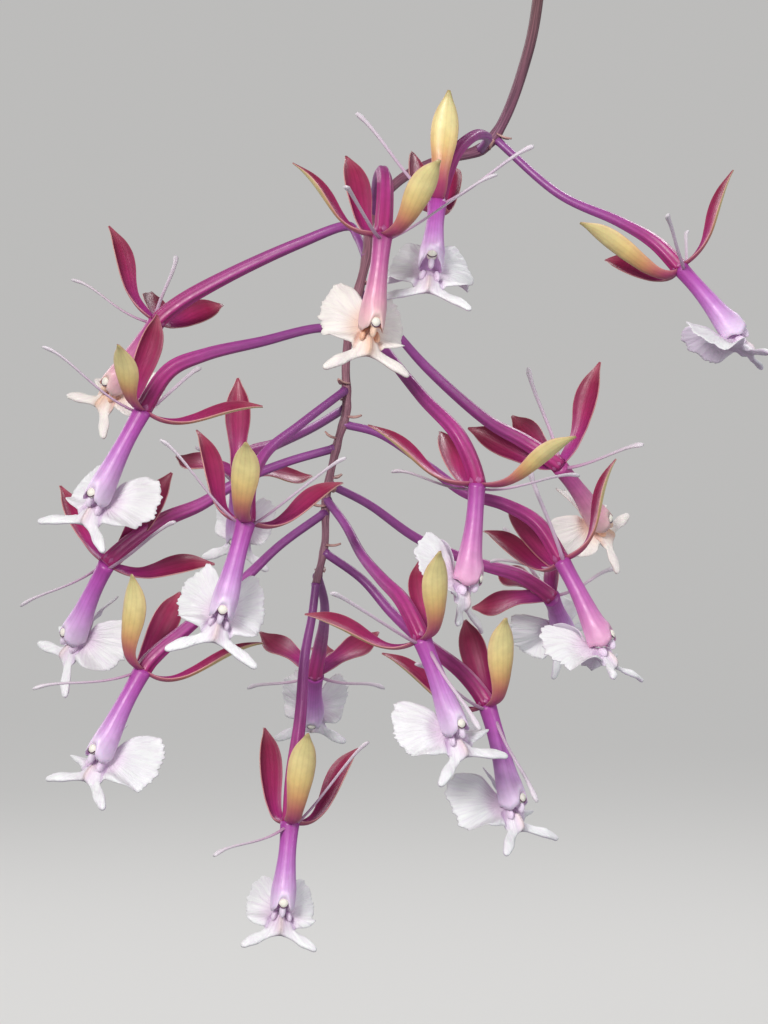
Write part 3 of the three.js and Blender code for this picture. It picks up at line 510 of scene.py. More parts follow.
def tissue_material():
    """Waxy bloom tissue: its paint, dark lines for veins and for painted shade in stalk grooves, and cells
    that glitter.
    """
    made = Finish(
        "bloom_tissue", 0.36, Subsurface_Weight=0.12, Subsurface_Scale=0.0012,
        Subsurface_Radius=(1.0, 0.35, 0.6), Coat_Weight=0.15, Coat_Roughness=0.32,
    )
    grain = made.node("SeparateXYZ", {"Vector": made.read("grain", "Vector")})
    drift = made.ramp(made.noise(60.0, 2.0), 0, 1, -VEIN_AND_GROOVE_SHADE_WANDER, VEIN_AND_GROOVE_SHADE_WANDER)
    phase = made.maths("MULTIPLY", made.maths("ADD", grain["Y"], drift), VEIN_AND_GROOVE_SHADE_COUNT * pi)
    # The stripe mask: real veins on the sepals, painted shade in the stalks' rib grooves
    veins = made.maths("MULTIPLY", made.ramp(made.maths("COSINE", phase), 0.1, 1), grain["Z"])
    patches = made.ramp(made.noise(420.0, 4.0), 0.3, 0.7, 0.92, 1.07)
    made.paint(made.blend(veins, WHITE, (0.42, 0.3, 0.36)), patches)
    made.roughen(made.noise(700.0), 0.34, 0.52)
    made.bump(veins, 0.35, 0.00025)
    made.bump(made.noise(2600.0, 2.0), 0.25, 0.00012)
    return made.material


def lip_material():
    """Velvety white lip tissue with fine wrinkles and veins that radiate from its middle."""
    made = Finish(
        "lip_tissue", 0.55, Subsurface_Weight=0.25, Subsurface_Scale=0.002,
        Subsurface_Radius=(1.0, 0.8, 0.95), Sheen_Weight=0.15,
    )
    wrinkles, veins = made.noise((0.16, 9.0, 1.0)), made.noise((0.2, 30.0, 1.0))
    made.paint(
        made.shade(wrinkles, 0.38, 0.62, (0.95, 0.92, 0.96), WHITE),
        made.shade(veins, 0.34, 0.5, (0.95, 0.91, 0.96), WHITE)
    )
    made.bump(wrinkles, 0.7, 0.0005)
    made.bump(veins, 0.35, 0.0002)
    made.bump(made.noise(1700.0, 2.0), 0.3, 0.00015)
    return made.material


def axis_material():
    """Woody mauve rachis with fine ribs along it."""
    made = Finish("rachis_skin", 0.5)
    ribs = made.noise((30.0, 22.0, 1.0))
    made.paint(made.shade(ribs, 0.35, 0.65, (0.55, 0.5, 0.55), (1.3, 1.2, 1.2)))
    made.bump(ribs, 0.7, 0.0004)
    return made.material


def leaf_material():
    """Leathery green with fine lengthwise veins and a satin cuticle."""
    made = Finish("leaf_skin", 0.42, Coat_Weight=0.18, Coat_Roughness=0.3)
    veins, blotches = made.noise((0.02, 1.6, 1.0), 2.0), made.noise((0.06, 0.25, 1.0), 4.0)
    made.paint(
        made.shade(veins, 0.35, 0.65, (0.78, 0.8, 0.75), (1.12, 1.1, 1.1)),
        made.shade(blotches, 0.3, 0.7, (0.82, 0.88, 0.7), (1.15, 1.08, 1.0)),
    )
    made.roughen(blotches, 0.34, 0.52)
    made.bump(veins, 0.4, 0.0003)
    return made.material


def sheath_material():
    """Dry papery sheath with fine lengthwise fibres and dark specks."""
    made = Finish("cane_sheath", 0.7)
    fibres = made.noise((0.08, 1.4, 1.0))
    shade = made.shade(fibres, 0.35, 0.65, (0.6, 0.58, 0.52), (1.2, 1.18, 1.1))
    made.paint(made.shade(made.noise(500.0), 0.56, 0.66, shade, (0.45, 0.36, 0.3)))
    made.bump(fibres, 0.6, 0.0004)
    return made.material


def bark_material():
    """Rough pine bark: lengthwise furrows and pale flakes."""
    made = Finish("bark_chips", 0.9)
    furrows, grit = made.noise((0.25, 1.1, 1.0), 5.0, 0.65), made.noise(900.0, 4.0, 0.65)
    made.paint(
        made.shade(furrows, 0.35, 0.65, (0.5, 0.46, 0.42), (1.35, 1.25, 1.15)),
        made.shade(grit, 0.3, 0.7, (0.75, 0.75, 0.75), (1.2, 1.2, 1.2)),
    )
    made.bump(furrows, 0.9, 0.0008)
    made.bump(grit, 0.6, 0.0003)
    return made.material


def moss_material():
    made = Finish("moss_shoots", 0.8)
    made.paint(made.shade(made.noise(120.0, 4.0), 0.35, 0.65, (0.65, 0.75, 0.5), (1.25, 1.15, 1.0)))
    made.bump(made.noise(3000.0, 2.0), 0.4, 0.0002)
    return made.material


def wood_material():
    """Bare sawn wood: growth rings cut lengthwise, pores and a little weathering."""
    made = Finish("sawn_wood", 0.72)
    phase = made.maths("MULTIPLY", made.noise((0.012, 0.16, 0.16)), 62.0)
    rings = made.ramp(made.maths("SINE", phase), -1, 1)
    pores = made.noise((0.09, 2.2, 2.2), 4.0, 0.7)
    weather = made.ramp(made.noise((0.02, 0.05, 0.05), 4.0), 0.5, 0.72, 0, 0.45)
    shade = made.blend(rings, (0.72, 0.64, 0.56), (1.08, 1.06, 1.04))
    shade = made.shade(pores, 0.36, 0.62, made.blend(0.5, shade, (0.5, 0.42, 0.36)), shade)
    made.paint(made.blend(weather, shade, (0.85, 0.9, 0.98)))
    made.bump(rings, 0.25, 0.0003)
    made.bump(pores, 0.6, 0.0003)
    return made.material


def steel_material():
    """Galvanised wire: dull spots, a fine grit and a soft sheen."""
    made = Finish("galvanised_wire", 0.34, Metallic=1.0)
    spots = made.noise(260.0, 4.0)
    made.paint(made.shade(spots, 0.35, 0.65, (0.72, 0.73, 0.75), (1.05, 1.05, 1.05)))
    made.roughen(spots, 0.24, 0.5)
    made.bump(made.noise(1500.0, 2.0), 0.3, 0.0001)
    return made.material


# Blooms

STALK_ROWS = 46
STALK_SIDES = 36
PEDICEL_RADII = [(0, 1.05), (0.25, 1.12), (0.5, 1.4), (0.8, 1.85), (0.95, 2.0), (1, 2.05)]
STALK_TINTS = [(0, "#8c4a8e"), (0.4, "#a04a98"), (0.75, "#ad3a86"), (1, "#ac2770")]
COLLAR_RADII = (1.7, 2.15, 1.9)
COLLAR_TINT = "#b0568c"
COLUMN_ROWS = 21
COLUMN_SIDES = 60
COLUMN_HALF_WIDTHS = [(0, 2.45), (0.12, 2.25), (0.35, 2.15), (0.6, 2.55), (0.85, 3.2), (0.95, 3.3), (1, 3.15)]
COLUMN_HALF_DEPTHS = [(0, 2.1), (0.2, 2.0), (0.5, 2.3), (0.8, 3.0), (1, 3.3)]
COLUMN_SAGS = [(0, 0), (0.4, 0.15), (0.8, 0.8), (1, 1.3)]
HOOD_HALF_DEPTHS = [(0, 2.1), (0.2, 2.0), (0.5, 2.3), (0.75, 3.0), (0.9, 3.9), (1, 4.2)]
HOOD_RIM = [
    (0, -2.0), (13, -1.8), (22, -0.9), (29, 0.3), (36, 0.9), (50, 1.2), (70, 1.7), (84, 1.5), (105, 0.5),
    (140, 0), (180, 0)
]
MOUTH_ROUNDING = (0.97, 0.87, 0.7, 0.45, 0.2)
COLUMN_TINTS = {
    "violet": [
        (0, "#a83f9a"), (0.25, "#b855b3"), (0.55, "#c67bcb"), (0.8, "#d8abdf"), (0.92, "#e6cced"),
        (1, "#ecd9f1")
    ],
    "rose": [(0, "#a83f96"), (0.25, "#b957ac"), (0.55, "#c86fb6"), (0.82, "#d890c2"), (1, "#e2abcb")],
    "cream": [(0, "#a83f86"), (0.3, "#bf5c9a"), (0.6, "#d383aa"), (0.85, "#e5b0bc"), (1, "#eecbc8")],
}
# The hollow inside the hood's rim: the column's own hue, a little darker than its end as painted shade
MOUTH_SHADE_TINTS = {"violet": "#d9b2dd", "rose": "#dba6cd", "cream": "#e6b8a6"}
ROSTELLUM_TINTS = {"violet": "#ecdcef", "rose": "#ecdcef", "cream": "#f0cdb4"}
ROSTELLUM_RADII = (0.8, 1.1, 1.8)
ANTHER_RADII = (1.3, 1.2, 1.35)
ANTHER_TINT = "#f8f3e4"
# A thin dark tube round the cap's lower edge: painted shadow in the slit under the anther cap
GROOVE_ROWS = 17
GROOVE_RADIUS = 0.13
GROOVE_SHADOW_TINT = "#4d1a46"
SEPAL_REACH = 27
SEPAL_ROOT = 1.4
SEPAL_WIDTHS = [
    (0, 3.0), (0.12, 3.8), (0.28, 3.9), (0.46, 5.1), (0.66, 6.6), (0.77, 6.4), (0.87, 4.7), (0.95, 2.0),
    (1, 0.6)
]
SEPAL_THICKNESS = 0.55
SEPAL_ROLL = 0.35
SEPAL_HOOK = 2.0
OUTER_TINTS = [(0, "#ab3a92"), (0.25, "#ab2d7c"), (0.55, "#a92564"), (0.85, "#98204c"), (1, "#b05a6c")]
INNER_TINTS = [
    (0, "#a83a72"), (0.2, "#b2486e"), (0.34, "#c07066"), (0.46, "#d39e6c"), (0.6, "#e4c984"),
    (0.76, "#ecdc9b"), (0.93, "#e2d596"), (1, "#a99a66")
]
SEPAL_RIM_TINT = "#cf9094"
SEPAL_BORDER_TINT = "#cf9c80"
PETAL_REACH = 28
PETAL_ROWS = 24
PETAL_RADII = [(0, 0.45), (0.3, 0.38), (0.6, 0.4), (0.82, 0.5), (0.94, 0.62), (1, 0.38)]
PETAL_ROOT = 1
PETAL_DROP = 1.1
PETAL_BOW = 2.5
PETAL_TINTS = [(0, "#b06c9c"), (0.15, "#cfa9c4"), (0.5, "#dcc8d8"), (1, "#ece4ea")]


def bloom_axes(bloom):
    """The joint and apex of a bloom, and its directions: down its column, dorsal, and side across both."""
    joint, apex = seen(bloom["joint"]), seen(bloom["apex"])
    down = unit(apex - joint)
    dorsal = seen_tip(joint, bloom["sepals"][0], SEPAL_REACH) - joint
    if "facing" in bloom:
        angle = radians(bloom["facing"])
        dorsal = np.array([sin(angle), -cos(angle), 0])
    dorsal = unit(dorsal - down * np.dot(dorsal, down))
    return joint, apex, down, dorsal, np.cross(down, dorsal)


def add_stalk(piece, bloom):
    """The stalk and the ribbed ovary, from the rachis to the joint, and a collar round the joint."""
    joint, apex, down, dorsal, _ = bloom_axes(bloom)
    stalk = [seen(point) for point in bloom["stalk"]]
    way = [*stalk, *(between(joint, apex, share) for share in (0, 0.34, 0.67, 1))]
    t = np.linspace(0, 1, STALK_ROWS)
    line = spline(way, t * len(stalk) / (len(way) - 1))
    radii = smooth(PEDICEL_RADII, t)
    radii[0] *= 1.25
    swell = ease((t - 0.3) / 0.5)
    # turn puts the tissue's dark stripes in the grooves between the ribs: painted shade in the grooves
    turn = 2.4 * np.arange(STALK_SIDES) / STALK_SIDES + 0.2
    grain = spread((STALK_ROWS, STALK_SIDES), t[:, None], turn, 0.15 + 0.15 * swell[:, None])

    def section(i):
        return circle(radii[i], STALK_SIDES, 0.02 + 0.075 * swell[i])

    add_tube(piece, line, dorsal, section, mix(STALK_TINTS, t), grain, 1)
    collar = line[-3:] + 0.25 * down
    add_tube(piece, collar, dorsal, lambda i: circle(COLLAR_RADII[i], 18), srgb(COLLAR_TINT), slot=1)


def add_column(piece, bloom):
    """The column deepens to a hood. Its rim is notched for the anther cap and has a tooth on either side."""
    joint, apex, down, dorsal, side = bloom_axes(bloom)
    inward = np.array([*np.ones(COLUMN_ROWS + 1), *MOUTH_ROUNDING])
    t = np.minimum(np.arange(len(inward)) / COLUMN_ROWS, 1)
    line = between(joint, apex, t[:, None]) - np.outer(smooth(COLUMN_SAGS, t), dorsal)
    angles = (np.arange(COLUMN_SIDES) - COLUMN_SIDES / 2) * 2 * pi / COLUMN_SIDES
    rim = smooth(HOOD_RIM, np.abs(np.degrees(angles)))
    hood = (ease((t - 0.78) / 0.22) * np.clip(4 * inward - 2.9, 0, 1))[:, None] * rim
    wide, back, front = (
        (smooth(sizes, t) * inward)[:, None]
        for sizes in (COLUMN_HALF_WIDTHS, COLUMN_HALF_DEPTHS, HOOD_HALF_DEPTHS)
    )
    wide = wide * np.sin(angles) * (1 - 0.07 * np.maximum(hood, 0))
    deep = np.where(np.cos(angles) > 0, front, back) * np.cos(angles)
    rings = blade_grid(line, side, wide, dorsal, deep) + hood[..., None] * down
    tone = bloom.get("tone", "violet")
    tint = mix(COLUMN_TINTS[tone], t)
    # The rings inside the rim take the mouth tint: a little darker, painted shade in the hollow
    tint[-4:] = srgb(MOUTH_SHADE_TINTS[tone])
    streaks = 0.15 * ease(t / 0.1) * ease((1.02 - t) / 0.3)
    grain = spread(wide.shape, t[:, None], 1.4 * np.sin(angles), streaks[:, None])
    add_rings(piece, rings, (line[0], line[-1]), tint, grain, 1)
    add_anther(piece, apex, (side, dorsal, down), srgb(ROSTELLUM_TINTS[tone]))


def add_anther(piece, apex, axes, tint):
    """A pale cap in the notch of the column's rim, a thin dark tube under it as painted shadow, and the
    rostellum below.
    """
    side, dorsal, down = axes
    cap = apex + 1.75 * dorsal - 0.5 * down
    add_ball(piece, apex + 0.9 * dorsal + 1.3 * down, axes, ROSTELLUM_RADII, tint, 2)
    add_ball(piece, cap, axes, ANTHER_RADII, srgb(ANTHER_TINT), 2)
    angles = np.linspace(-1.3, 1.3, GROOVE_ROWS)
    groove = cap + 0.6 * dorsal + np.outer(1.24 * np.cos(angles), down)
    groove += np.outer(1.18 * np.sin(angles), side)
    radii = [0.05, *[GROOVE_RADIUS] * (GROOVE_ROWS - 2), 0.05]
    add_tube(piece, groove, dorsal, lambda i: circle(radii[i], 8), srgb(GROOVE_SHADOW_TINT), slot=1)


def add_sepal(piece, bloom, seen_place, draw):
    """A sepal leaves the joint outwards, sweeps back along the stalk and flares again to its pointed tip."""
    joint, _, down, _, _ = bloom_axes(bloom)
    tip = seen_tip(joint, seen_place, SEPAL_REACH)
    drop = np.dot(tip - joint, down)
    outward = tip - joint - down * drop
    reach = norm(outward)
    outward = outward / reach
    t = np.linspace(0, 1, BLADE_ROWS)
    root = joint + SEPAL_ROOT * outward
    rise = joint + (5.5 + 0.25 * reach) * outward + 1.2 * down
    sweep = joint + (3.5 + 0.45 * reach) * outward + 0.62 * drop * down
    hook = (3 * sweep + tip) / 4 - SEPAL_HOOK * outward
    middle = bezier([root, (root + 3 * rise) / 4, (rise + sweep) / 2, hook, tip], t)
    across = unit(np.cross(down, outward))
    outer = np.cross(across, tangents(middle))
    roll = -seen_place[2] * SEPAL_ROLL * across[1] * np.minimum(1, t / 0.4) + draw.uniform(-0.2, 0.2) * t**2
    lean = across * np.cos(roll)[:, None] - outer * np.sin(roll)[:, None]
    half = smooth(SEPAL_WIDTHS, t)[:, None] / 2
    v = np.sin(np.linspace(-pi / 2, pi / 2, BLADE_COLUMNS))
    wave = 0.12 * np.sin(9 * t + draw.uniform(0, 6))[:, None] * v**2
    curl = (0.30 * v**2 + 0.10 * v**4 - 0.18) * half + wave
    grid = blade_grid(middle, lean, half * v, np.cross(lean, tangents(middle)), curl)
    rim = (np.clip((np.abs(v) - 0.97) / 0.03, 0, 1) * ease(t / 0.15)[:, None])[..., None]
    border = 0.35 * np.clip((np.abs(v) - 0.6) / 0.4, 0, 1)[:, None]
    # The outer face is painted darker towards its edges, where it rounds away: painted shade
    shade = (0.92 + 0.12 * np.cos(v * 3))[:, None]
    outer_tint = between(mix(OUTER_TINTS, t)[:, None] * shade, srgb(SEPAL_RIM_TINT), 0.5 * rim)
    inner_tint = between(mix(INNER_TINTS, t)[:, None], srgb(SEPAL_BORDER_TINT), border)
    inner_tint = between(inner_tint, srgb(SEPAL_RIM_TINT), 0.75 * rim)
    thickness = SEPAL_THICKNESS * (1 - 0.45 * np.abs(v) ** 3) * (1 - 0.4 * t[:, None] ** 4)
    grains = [spread(rim.shape[:2], t[:, None], v, veins * ease(t / 0.2)[:, None]) for veins in (0.2, 0.1)]
    add_blade(piece, grid, thickness, outer_tint, inner_tint, *grains)


def add_petal(piece, bloom, seen_place, draw):
    """A petal is a pale thread with a slightly wider tip."""
    joint, _, down, _, _ = bloom_axes(bloom)
    tip = seen_tip(joint, seen_place, PETAL_REACH)
    outward = tip - joint
    root = joint + PETAL_ROOT * unit(outward - down * np.dot(outward, down)) + PETAL_DROP * down
    sag = joint + 0.38 * outward + 1.35 * PETAL_BOW * down
    arch = joint + 0.8 * outward - 0.9 * PETAL_BOW * down
    t = np.linspace(0, 1, PETAL_ROWS)
    across = unit(np.cross(outward, down))
    wander = np.sin(2 * pi * t) * draw.uniform(-0.5, 0.5) * t * (1 - t) * 3
    line = bezier([root, sag, arch, tip], t) + np.outer(wander, across)
    radii = smooth(PETAL_RADII, t)
    add_tube(piece, line, across, lambda i: circle(radii[i], 8) * (1.25, 0.8), mix(PETAL_TINTS, t), slot=2)


def build_bloom(number, bloom, materials):
    piece = Piece()
    draw = random.Random(number)
    add_stalk(piece, bloom)
    add_column(piece, bloom)
    for tip in bloom["sepals"]:
        add_sepal(piece, bloom, tip, draw)
    for tip in bloom["petals"]:
        add_petal(piece, bloom, tip, draw)
    piece.build(f"fine_bloom_{number:02}", materials, [f"bloom_{number:02}"])


# Lips

LIP_STANDOFF = 3.1
LIP_DROP = 2.5
LIP_TILT = 0.35
LIP_THICKNESS = 0.45
LIP_CELL = 0.42
LOBE_STEPS = 140
LOBE_BACK = 2.6
LOBE_SWEEP = 0.55
LOBE_RADII = [
    (-50, 6.5), (-44, 6.9), (-37, 7.7), (-30, 8.8), (-20, 10.2), (-8, 11.2), (6, 11.9), (20, 12.7),
    (36, 13.6), (48, 14.2), (57, 14.3), (63, 13.7), (68, 11.9), (73, 8.6), (80, 5.0), (87, 2.8)
]
LOBE_TEETH = [(0.056, 4.0), (0.0448, 11.0), (0.0416, 21.0)]
NOTCH = (3.5, 3.1)
CLEFT = (0.4, 5.3)
FOLD_START = (1.9, -0.8)
LOBULE_STEPS = 18
LOBULE_LENGTH = 8.5
LOBULE_SPREAD = 9.2
LOBULE_WIDTH = 2.9
LOBULE_TAPER = [(0, 1.1), (0.3, 0.85), (0.5, 0.84), (0.8, 0.98), (1, 0.7)]
CALLUS_PLACE = (1.8, 0.55, -1.55)
CALLUS_RADII = (0.7, 1.1, 1.45)
# fold is a darker tint painted along the crease between each side lobe and the middle, as painted shade
LIP_TINTS = {
    "violet": dict(
        lobe="#f2f3f3", heart="#e4cbe2", keel="#f1dcd8", callus="#ead6ec", fold="#bb9cc4", under="#dacfe0"
    ),
    "cream": dict(
        lobe="#f4eee6", heart="#eec6b0", keel="#f2c8a8", callus="#eeb99a", fold="#d2a08c", under="#e2d2ca"
    ),
}
LIP_TINTS["rose"] = LIP_TINTS["violet"]


def lip_outline(size, back, draw):
    """The lip's outline in its own flat p and q. Each half is a toothed side lobe and a mid-lobe lobule."""
    halves = []
    for _ in range(2):
        start = draw.uniform(0, 50)
        angles = np.linspace(87, -50, LOBE_STEPS)
        turn = np.radians(angles)
        radii = smooth(LOBE_RADII, angles) * size * draw.uniform(0.96, 1.03)
        teeth = sum(
            depth * noise_at([(pitch * a + start, pitch, start) for a in turn]) for depth, pitch in LOBE_TEETH
        )
        teeth *= 0.25 + 0.75 * ease((angles + 20) / 30)
        teeth *= ease((angles + 50) / 12) * ease((86 - angles) / 12)
        radii = radii * (1 + teeth)
        lobe = np.stack([radii * np.cos(turn), -(back + radii * np.sin(turn))], axis=1)
        reach = LOBULE_LENGTH * draw.uniform(0.92, 1.08) * (0.4 + 0.6 * size)
        aside = LOBULE_SPREAD * draw.uniform(0.94, 1.06) * (0.4 + 0.6 * size)
        share = np.linspace(0, 1, LOBULE_STEPS)
        middle = bezier([(1.2, 3.9, 0), (4.0, 5.2, 0), (aside, reach, 0)], share)[:, :2]
        aim = tangents(middle)
        normal = aim[:, ::-1] * (1, -1)
        half = LOBULE_WIDTH / 2
        wide = half * smooth(LOBULE_TAPER, share)[:, None] * normal
        angles = np.linspace(0.3, pi - 0.3, 9)[:, None]
        cap = middle[-1] + half * (0.68 * np.cos(angles) * normal[-1] + 1.15 * np.sin(angles) * aim[-1])
        outside, inside = middle + wide, (middle - wide)[::-1]
        outside = outside[outside[:, 0] > NOTCH[0] + 0.5]
        inside = inside[(inside[:, 0] > CLEFT[0] + 0.4) & (inside[:, 1] > CLEFT[1])]
        halves.append(np.concatenate([lobe, [NOTCH], outside, cap, inside, [CLEFT]]))
    right, left = halves
    return np.concatenate([right, (left * (-1, 1))[::-1]])


def lip_place(bloom):
    """Where a point of the flat lip goes: the side lobes are swept back, and the whole lip leans by its tilt.
    """
    _, apex, down, dorsal, side = bloom_axes(bloom)
    hinge = apex - LIP_STANDOFF * dorsal + LIP_DROP * down
    sweep = bloom.get("sweep", LOBE_SWEEP)
    tilt = bloom.get("tilt", LIP_TILT)
    run = cos(tilt) * down + sin(tilt) * dorsal
    off = sin(tilt) * down - cos(tilt) * dorsal

    def place(p, q, lift):
        out = np.abs(p)
        swept = np.maximum(out - 1.2, 0) * ease((1.5 - q) / 3)
        aside = np.sign(p) * (out - swept * (1 - cos(sweep)))
        return hinge + np.stack([aside, q, lift + swept * sin(sweep)], axis=-1) @ [side, run, off]

    return place


def build_lip(number, bloom, materials):
    piece = Piece()
    draw = random.Random(100 + number)
    tints = {key: srgb(code) for key, code in LIP_TINTS[bloom.get("tone", "violet")].items()}
    back = bloom.get("back", LOBE_BACK)
    outline = lip_outline(bloom.get("lip", 1), back, draw)
    low, high = outline.min(0), outline.max(0)
    lattice = (np.arange(low[k], high[k], step) for k, step in ((0, LIP_CELL), (1, LIP_CELL * 0.87)))
    points, triangles = fill([outline], *lattice, LIP_CELL / 2, 0.6 * LIP_CELL, 1)
    p, q = points.T
    out = np.abs(p)
    radius = np.hypot(p, q + back)
    angle = np.arctan2(-(q + back), out) * np.sign(p)
    place = lip_place(bloom)
    shift = draw.uniform(0, 50)
    ripple = noise_at([(a * 0.16 + shift, b * 0.16, shift) for a, b in points])
    pleats, frill = (
        noise_at([(a * pitch, r * 0.15, shift) for a, r in zip(angle, radius)]) for pitch in (6.0, 15.0)
    )
    side_lobe = ease((3.5 - q) / 3) * ease((radius - 2) / 4)
    lift = 1.2 * ripple + 0.4 * pleats * ease((radius - 4) / 7) - 0.9 * ease(radius / 9)
    lift += 0.8 * ease((radius - 8) / 6)
    lift = side_lobe * (lift + 0.22 * frill * ease((radius - 8) / 5))
    arm = ease((q - 4.5) / 3)
    lift += arm * (-0.5 * ease((out - 3) / 5) + 0.5 * ease((out - 7) / 4))
    crease = fold_depth(out, q)
    lift += 0.8 * crease
    body = 1.3 * bell(p, 2.1) * ease((q + 3) / 2.5) * ease((7.2 - q) / 4)
    keel = 0.9 * bell(p, 0.7) * ease((q - 0.2) / 1.5) * ease((6.2 - q) / 2.0)
    edge = norm(points[:, None] - outline, axis=2).min(axis=1)
    pillow = np.sqrt(1 - (1 - np.clip(edge / 1.1, 0, 1)) ** 2)
    half = LIP_THICKNESS / 2 * (0.45 + 0.55 * pillow) * (1 + 1.6 * arm)
    isthmus = 0.6 * bell(p, 2.4) * ease((q + 2) / 2) * ease((7 - q) / 3)
    heart = np.maximum(0.85 * ease((7.5 - radius) / 5.5), isthmus)[:, None]
    above = between(tints["lobe"], tints["heart"], heart)
    above = between(above, tints["keel"], 0.9 * np.clip(keel, 0, 1)[:, None])
    # The fold tint darkens the crease between each side lobe and the middle: painted shade in the crease
    above = between(above, tints["fold"], 0.6 * crease[:, None])
    below = between(tints["under"], tints["heart"], 0.5 * heart)
    count = len(points)
    used = {pair for face in triangles for pair in zip(face, face[1:] + face[:1])}
    faces = triangles + [[count + i for i in reversed(face)] for face in triangles]
    faces += [[b, a, count + a, count + b] for a, b in used if (b, a) not in used]
    grain = np.stack([radius, angle, np.full(count, shift)], axis=1)
    both = np.concatenate([place(p, q, lift - half - body - keel), place(p, q, lift + half)])
    piece.add(both, faces, np.concatenate([above, below]), np.concatenate([grain, grain]))
    add_callus(piece, place, tints["callus"])
    piece.build(f"fine_lip_{number:02}", materials, [f"lip_{number:02}"])


def fold_depth(out, q):
    """How deep the fold between a side lobe and the lip's middle is at places of the flat lip, 0 to 1."""
    run = np.subtract(NOTCH, FOLD_START)
    gap = np.stack([out, q], axis=-1) - FOLD_START
    along = np.clip(gap @ run / np.dot(run, run), 0, 1)
    return bell(norm(gap - np.outer(along, run), axis=1), 0.5)


def add_callus(piece, place, tint):
    """The two rounded bumps that stand on the lip's base in front of the column's mouth."""
    for sign in (-1, 1):
        p, q, lift = CALLUS_PLACE
        steps = ((0, 0, 0), (-0.3, -1, 0), (0, 0, -1))
        at, back, above = (place(sign * (p + a), q + b, lift + c) for a, b, c in steps)
        ahead, above = unit(at - back), unit(above - at)
        add_ball(piece, at, (np.cross(ahead, above), above, ahead), CALLUS_RADII, tint)


# Peduncle and rachis

RACHIS = [
    (25.8, 30, 91.8), (14, 26, 88), (4, 20, 83), (-3, 12, 74.3), (-4.5, 4, 63), (-8, 0, 48.5), (-9.5, 0, 38),
    (-9.5, 0, 25), (-11.5, 0, 17.8), (-14.5, 0, 3.3), (-14.8, 0, -8), (-17, 0, -18)
]
PEDUNCLE = [(42.6, -13, 244.1), (43, -10, 215), (42, 0, 180), (40, 12, 145), (36, 24, 115)]
RACHIS_ROWS = 200
RACHIS_RADII = (1.5, 0.9)
RACHIS_TINTS = [(0, "#6f8a4a"), (0.12, "#7c6a52"), (0.3, "#80506a"), (0.6, "#8e626f"), (1, "#9a7080")]
BRACT_GRID = (8, 5)
BRACT_LENGTH = 3.6
BRACT_WIDTH = 3
BRACT_THICKNESS = 0.4
BRACT_OFFSET = 2.1
BRACT_TINTS = [(0, "#ab8080"), (0.5, "#cfaea2"), (1, "#c09a90")]


def build_axis(materials):
    """The peduncle and rachis, swollen at each stalk's root, and a small pale bract above each root of a
    bloom that isn't bare.
    """
    piece = Piece()
    draw = random.Random(7)
    places = np.linspace(0, 1, RACHIS_ROWS)
    line = spline([seen(point) for point in [*PEDUNCLE, *RACHIS]], places)
    roots = np.array([seen(bloom["stalk"][0]) for bloom in BLOOMS])
    near = norm(line[:, None] - roots, axis=2).min(axis=1)
    radii = np.interp(places, [0, 1], RACHIS_RADII) * (1 + 0.22 * bell(near, 1.8))
    skin = mix(RACHIS_TINTS, places)
    add_tube(piece, line, np.array([1.0, 0, 0]), lambda i: circle(radii[i], 18, 0.05), skin)
    t, v = (np.linspace(low, 1, steps) for low, steps in zip((0, -1), BRACT_GRID))
    tint = np.broadcast_to(mix(BRACT_TINTS, t)[:, None], (*BRACT_GRID, 3))
    thickness = np.full(BRACT_GRID, BRACT_THICKNESS)
    for bloom in BLOOMS:
        if bloom.get("bare"):
            continue
        root, following = (seen(point) for point in bloom["stalk"][:2])
        nearest = norm(line - root, axis=1).argmin()
        upstream = -tangents(line)[nearest]
        lead = unit(following - root)
        lead = unit(lead - upstream * np.dot(lead, upstream) * 0.8)
        start = line[nearest] + BRACT_OFFSET * upstream
        middle = start + np.outer(0.3 + t * BRACT_LENGTH, lead) + np.outer(1.2 * t * t, upstream)
        half = BRACT_WIDTH / 2 * (1 - t[:, None]) ** 0.6 * draw.uniform(0.85, 1.1) + 0.08
        grid = blade_grid(middle, unit(np.cross(lead, upstream)), half * v, upstream, -0.3 * v[None] ** 2)
        add_blade(piece, grid, thickness, tint, tint, 0 * grid, 0 * grid)
    piece.build("fine_raceme_axis", materials, ["raceme_axis"])


# Canes and leaves

CANES = [
    [(16, -24, -168), (19, -36, -142), (27, -62, -124), (36, -92, -128), (41, -112, -150), (42, -118, -184)],
    [(30, 10, -168), (36, 11, -140), (52, 12, -108), (76, 13, -84)],
    [(4, 30, -168), (4, 37, -138), (3, 50, -106), (2, 72, -78)],
    [(-28, -8, -168), (-34, -9, -138), (-50, -10, -104), (-72, -12, -80)],
]
CANE_TURNS = (0, 90, 0, 90)
CANE_ROWS = 150
CANE_SIDES = 16
CANE_RADII = (3.6, 2.4)
CANE_SINK = 34
CANE_JOINTS = 11
CANE_TINTS = [(0, "#8a7c5c"), (0.35, "#93906a"), (0.5, "#7c944f"), (1, "#6f8f47")]
LEAF_PLACES = (0.5, 0.62, 0.74, 0.86, 0.98)
LEAF_LENGTH = 66
LEAF_WIDTH = 19
LEAF_THICKNESS = 0.95
LEAF_DROOP = 0.1
LEAF_LEAN = 0.8
LEAF_WIDTHS = [(0, 0.2), (0.12, 0.55), (0.3, 0.9), (0.55, 1.0), (0.8, 0.78), (0.94, 0.4), (1, 0.08)]
LEAF_TINTS = [(0, "#7d9a4a"), (0.2, "#4f7f34"), (0.7, "#3f7330"), (1, "#6f7f38")]
LEAF_EDGE_TINT = "#7a4340"
LEAF_BACK_TINT = "#9fb483"
MIDRIB_TINT = "#8fae5c"


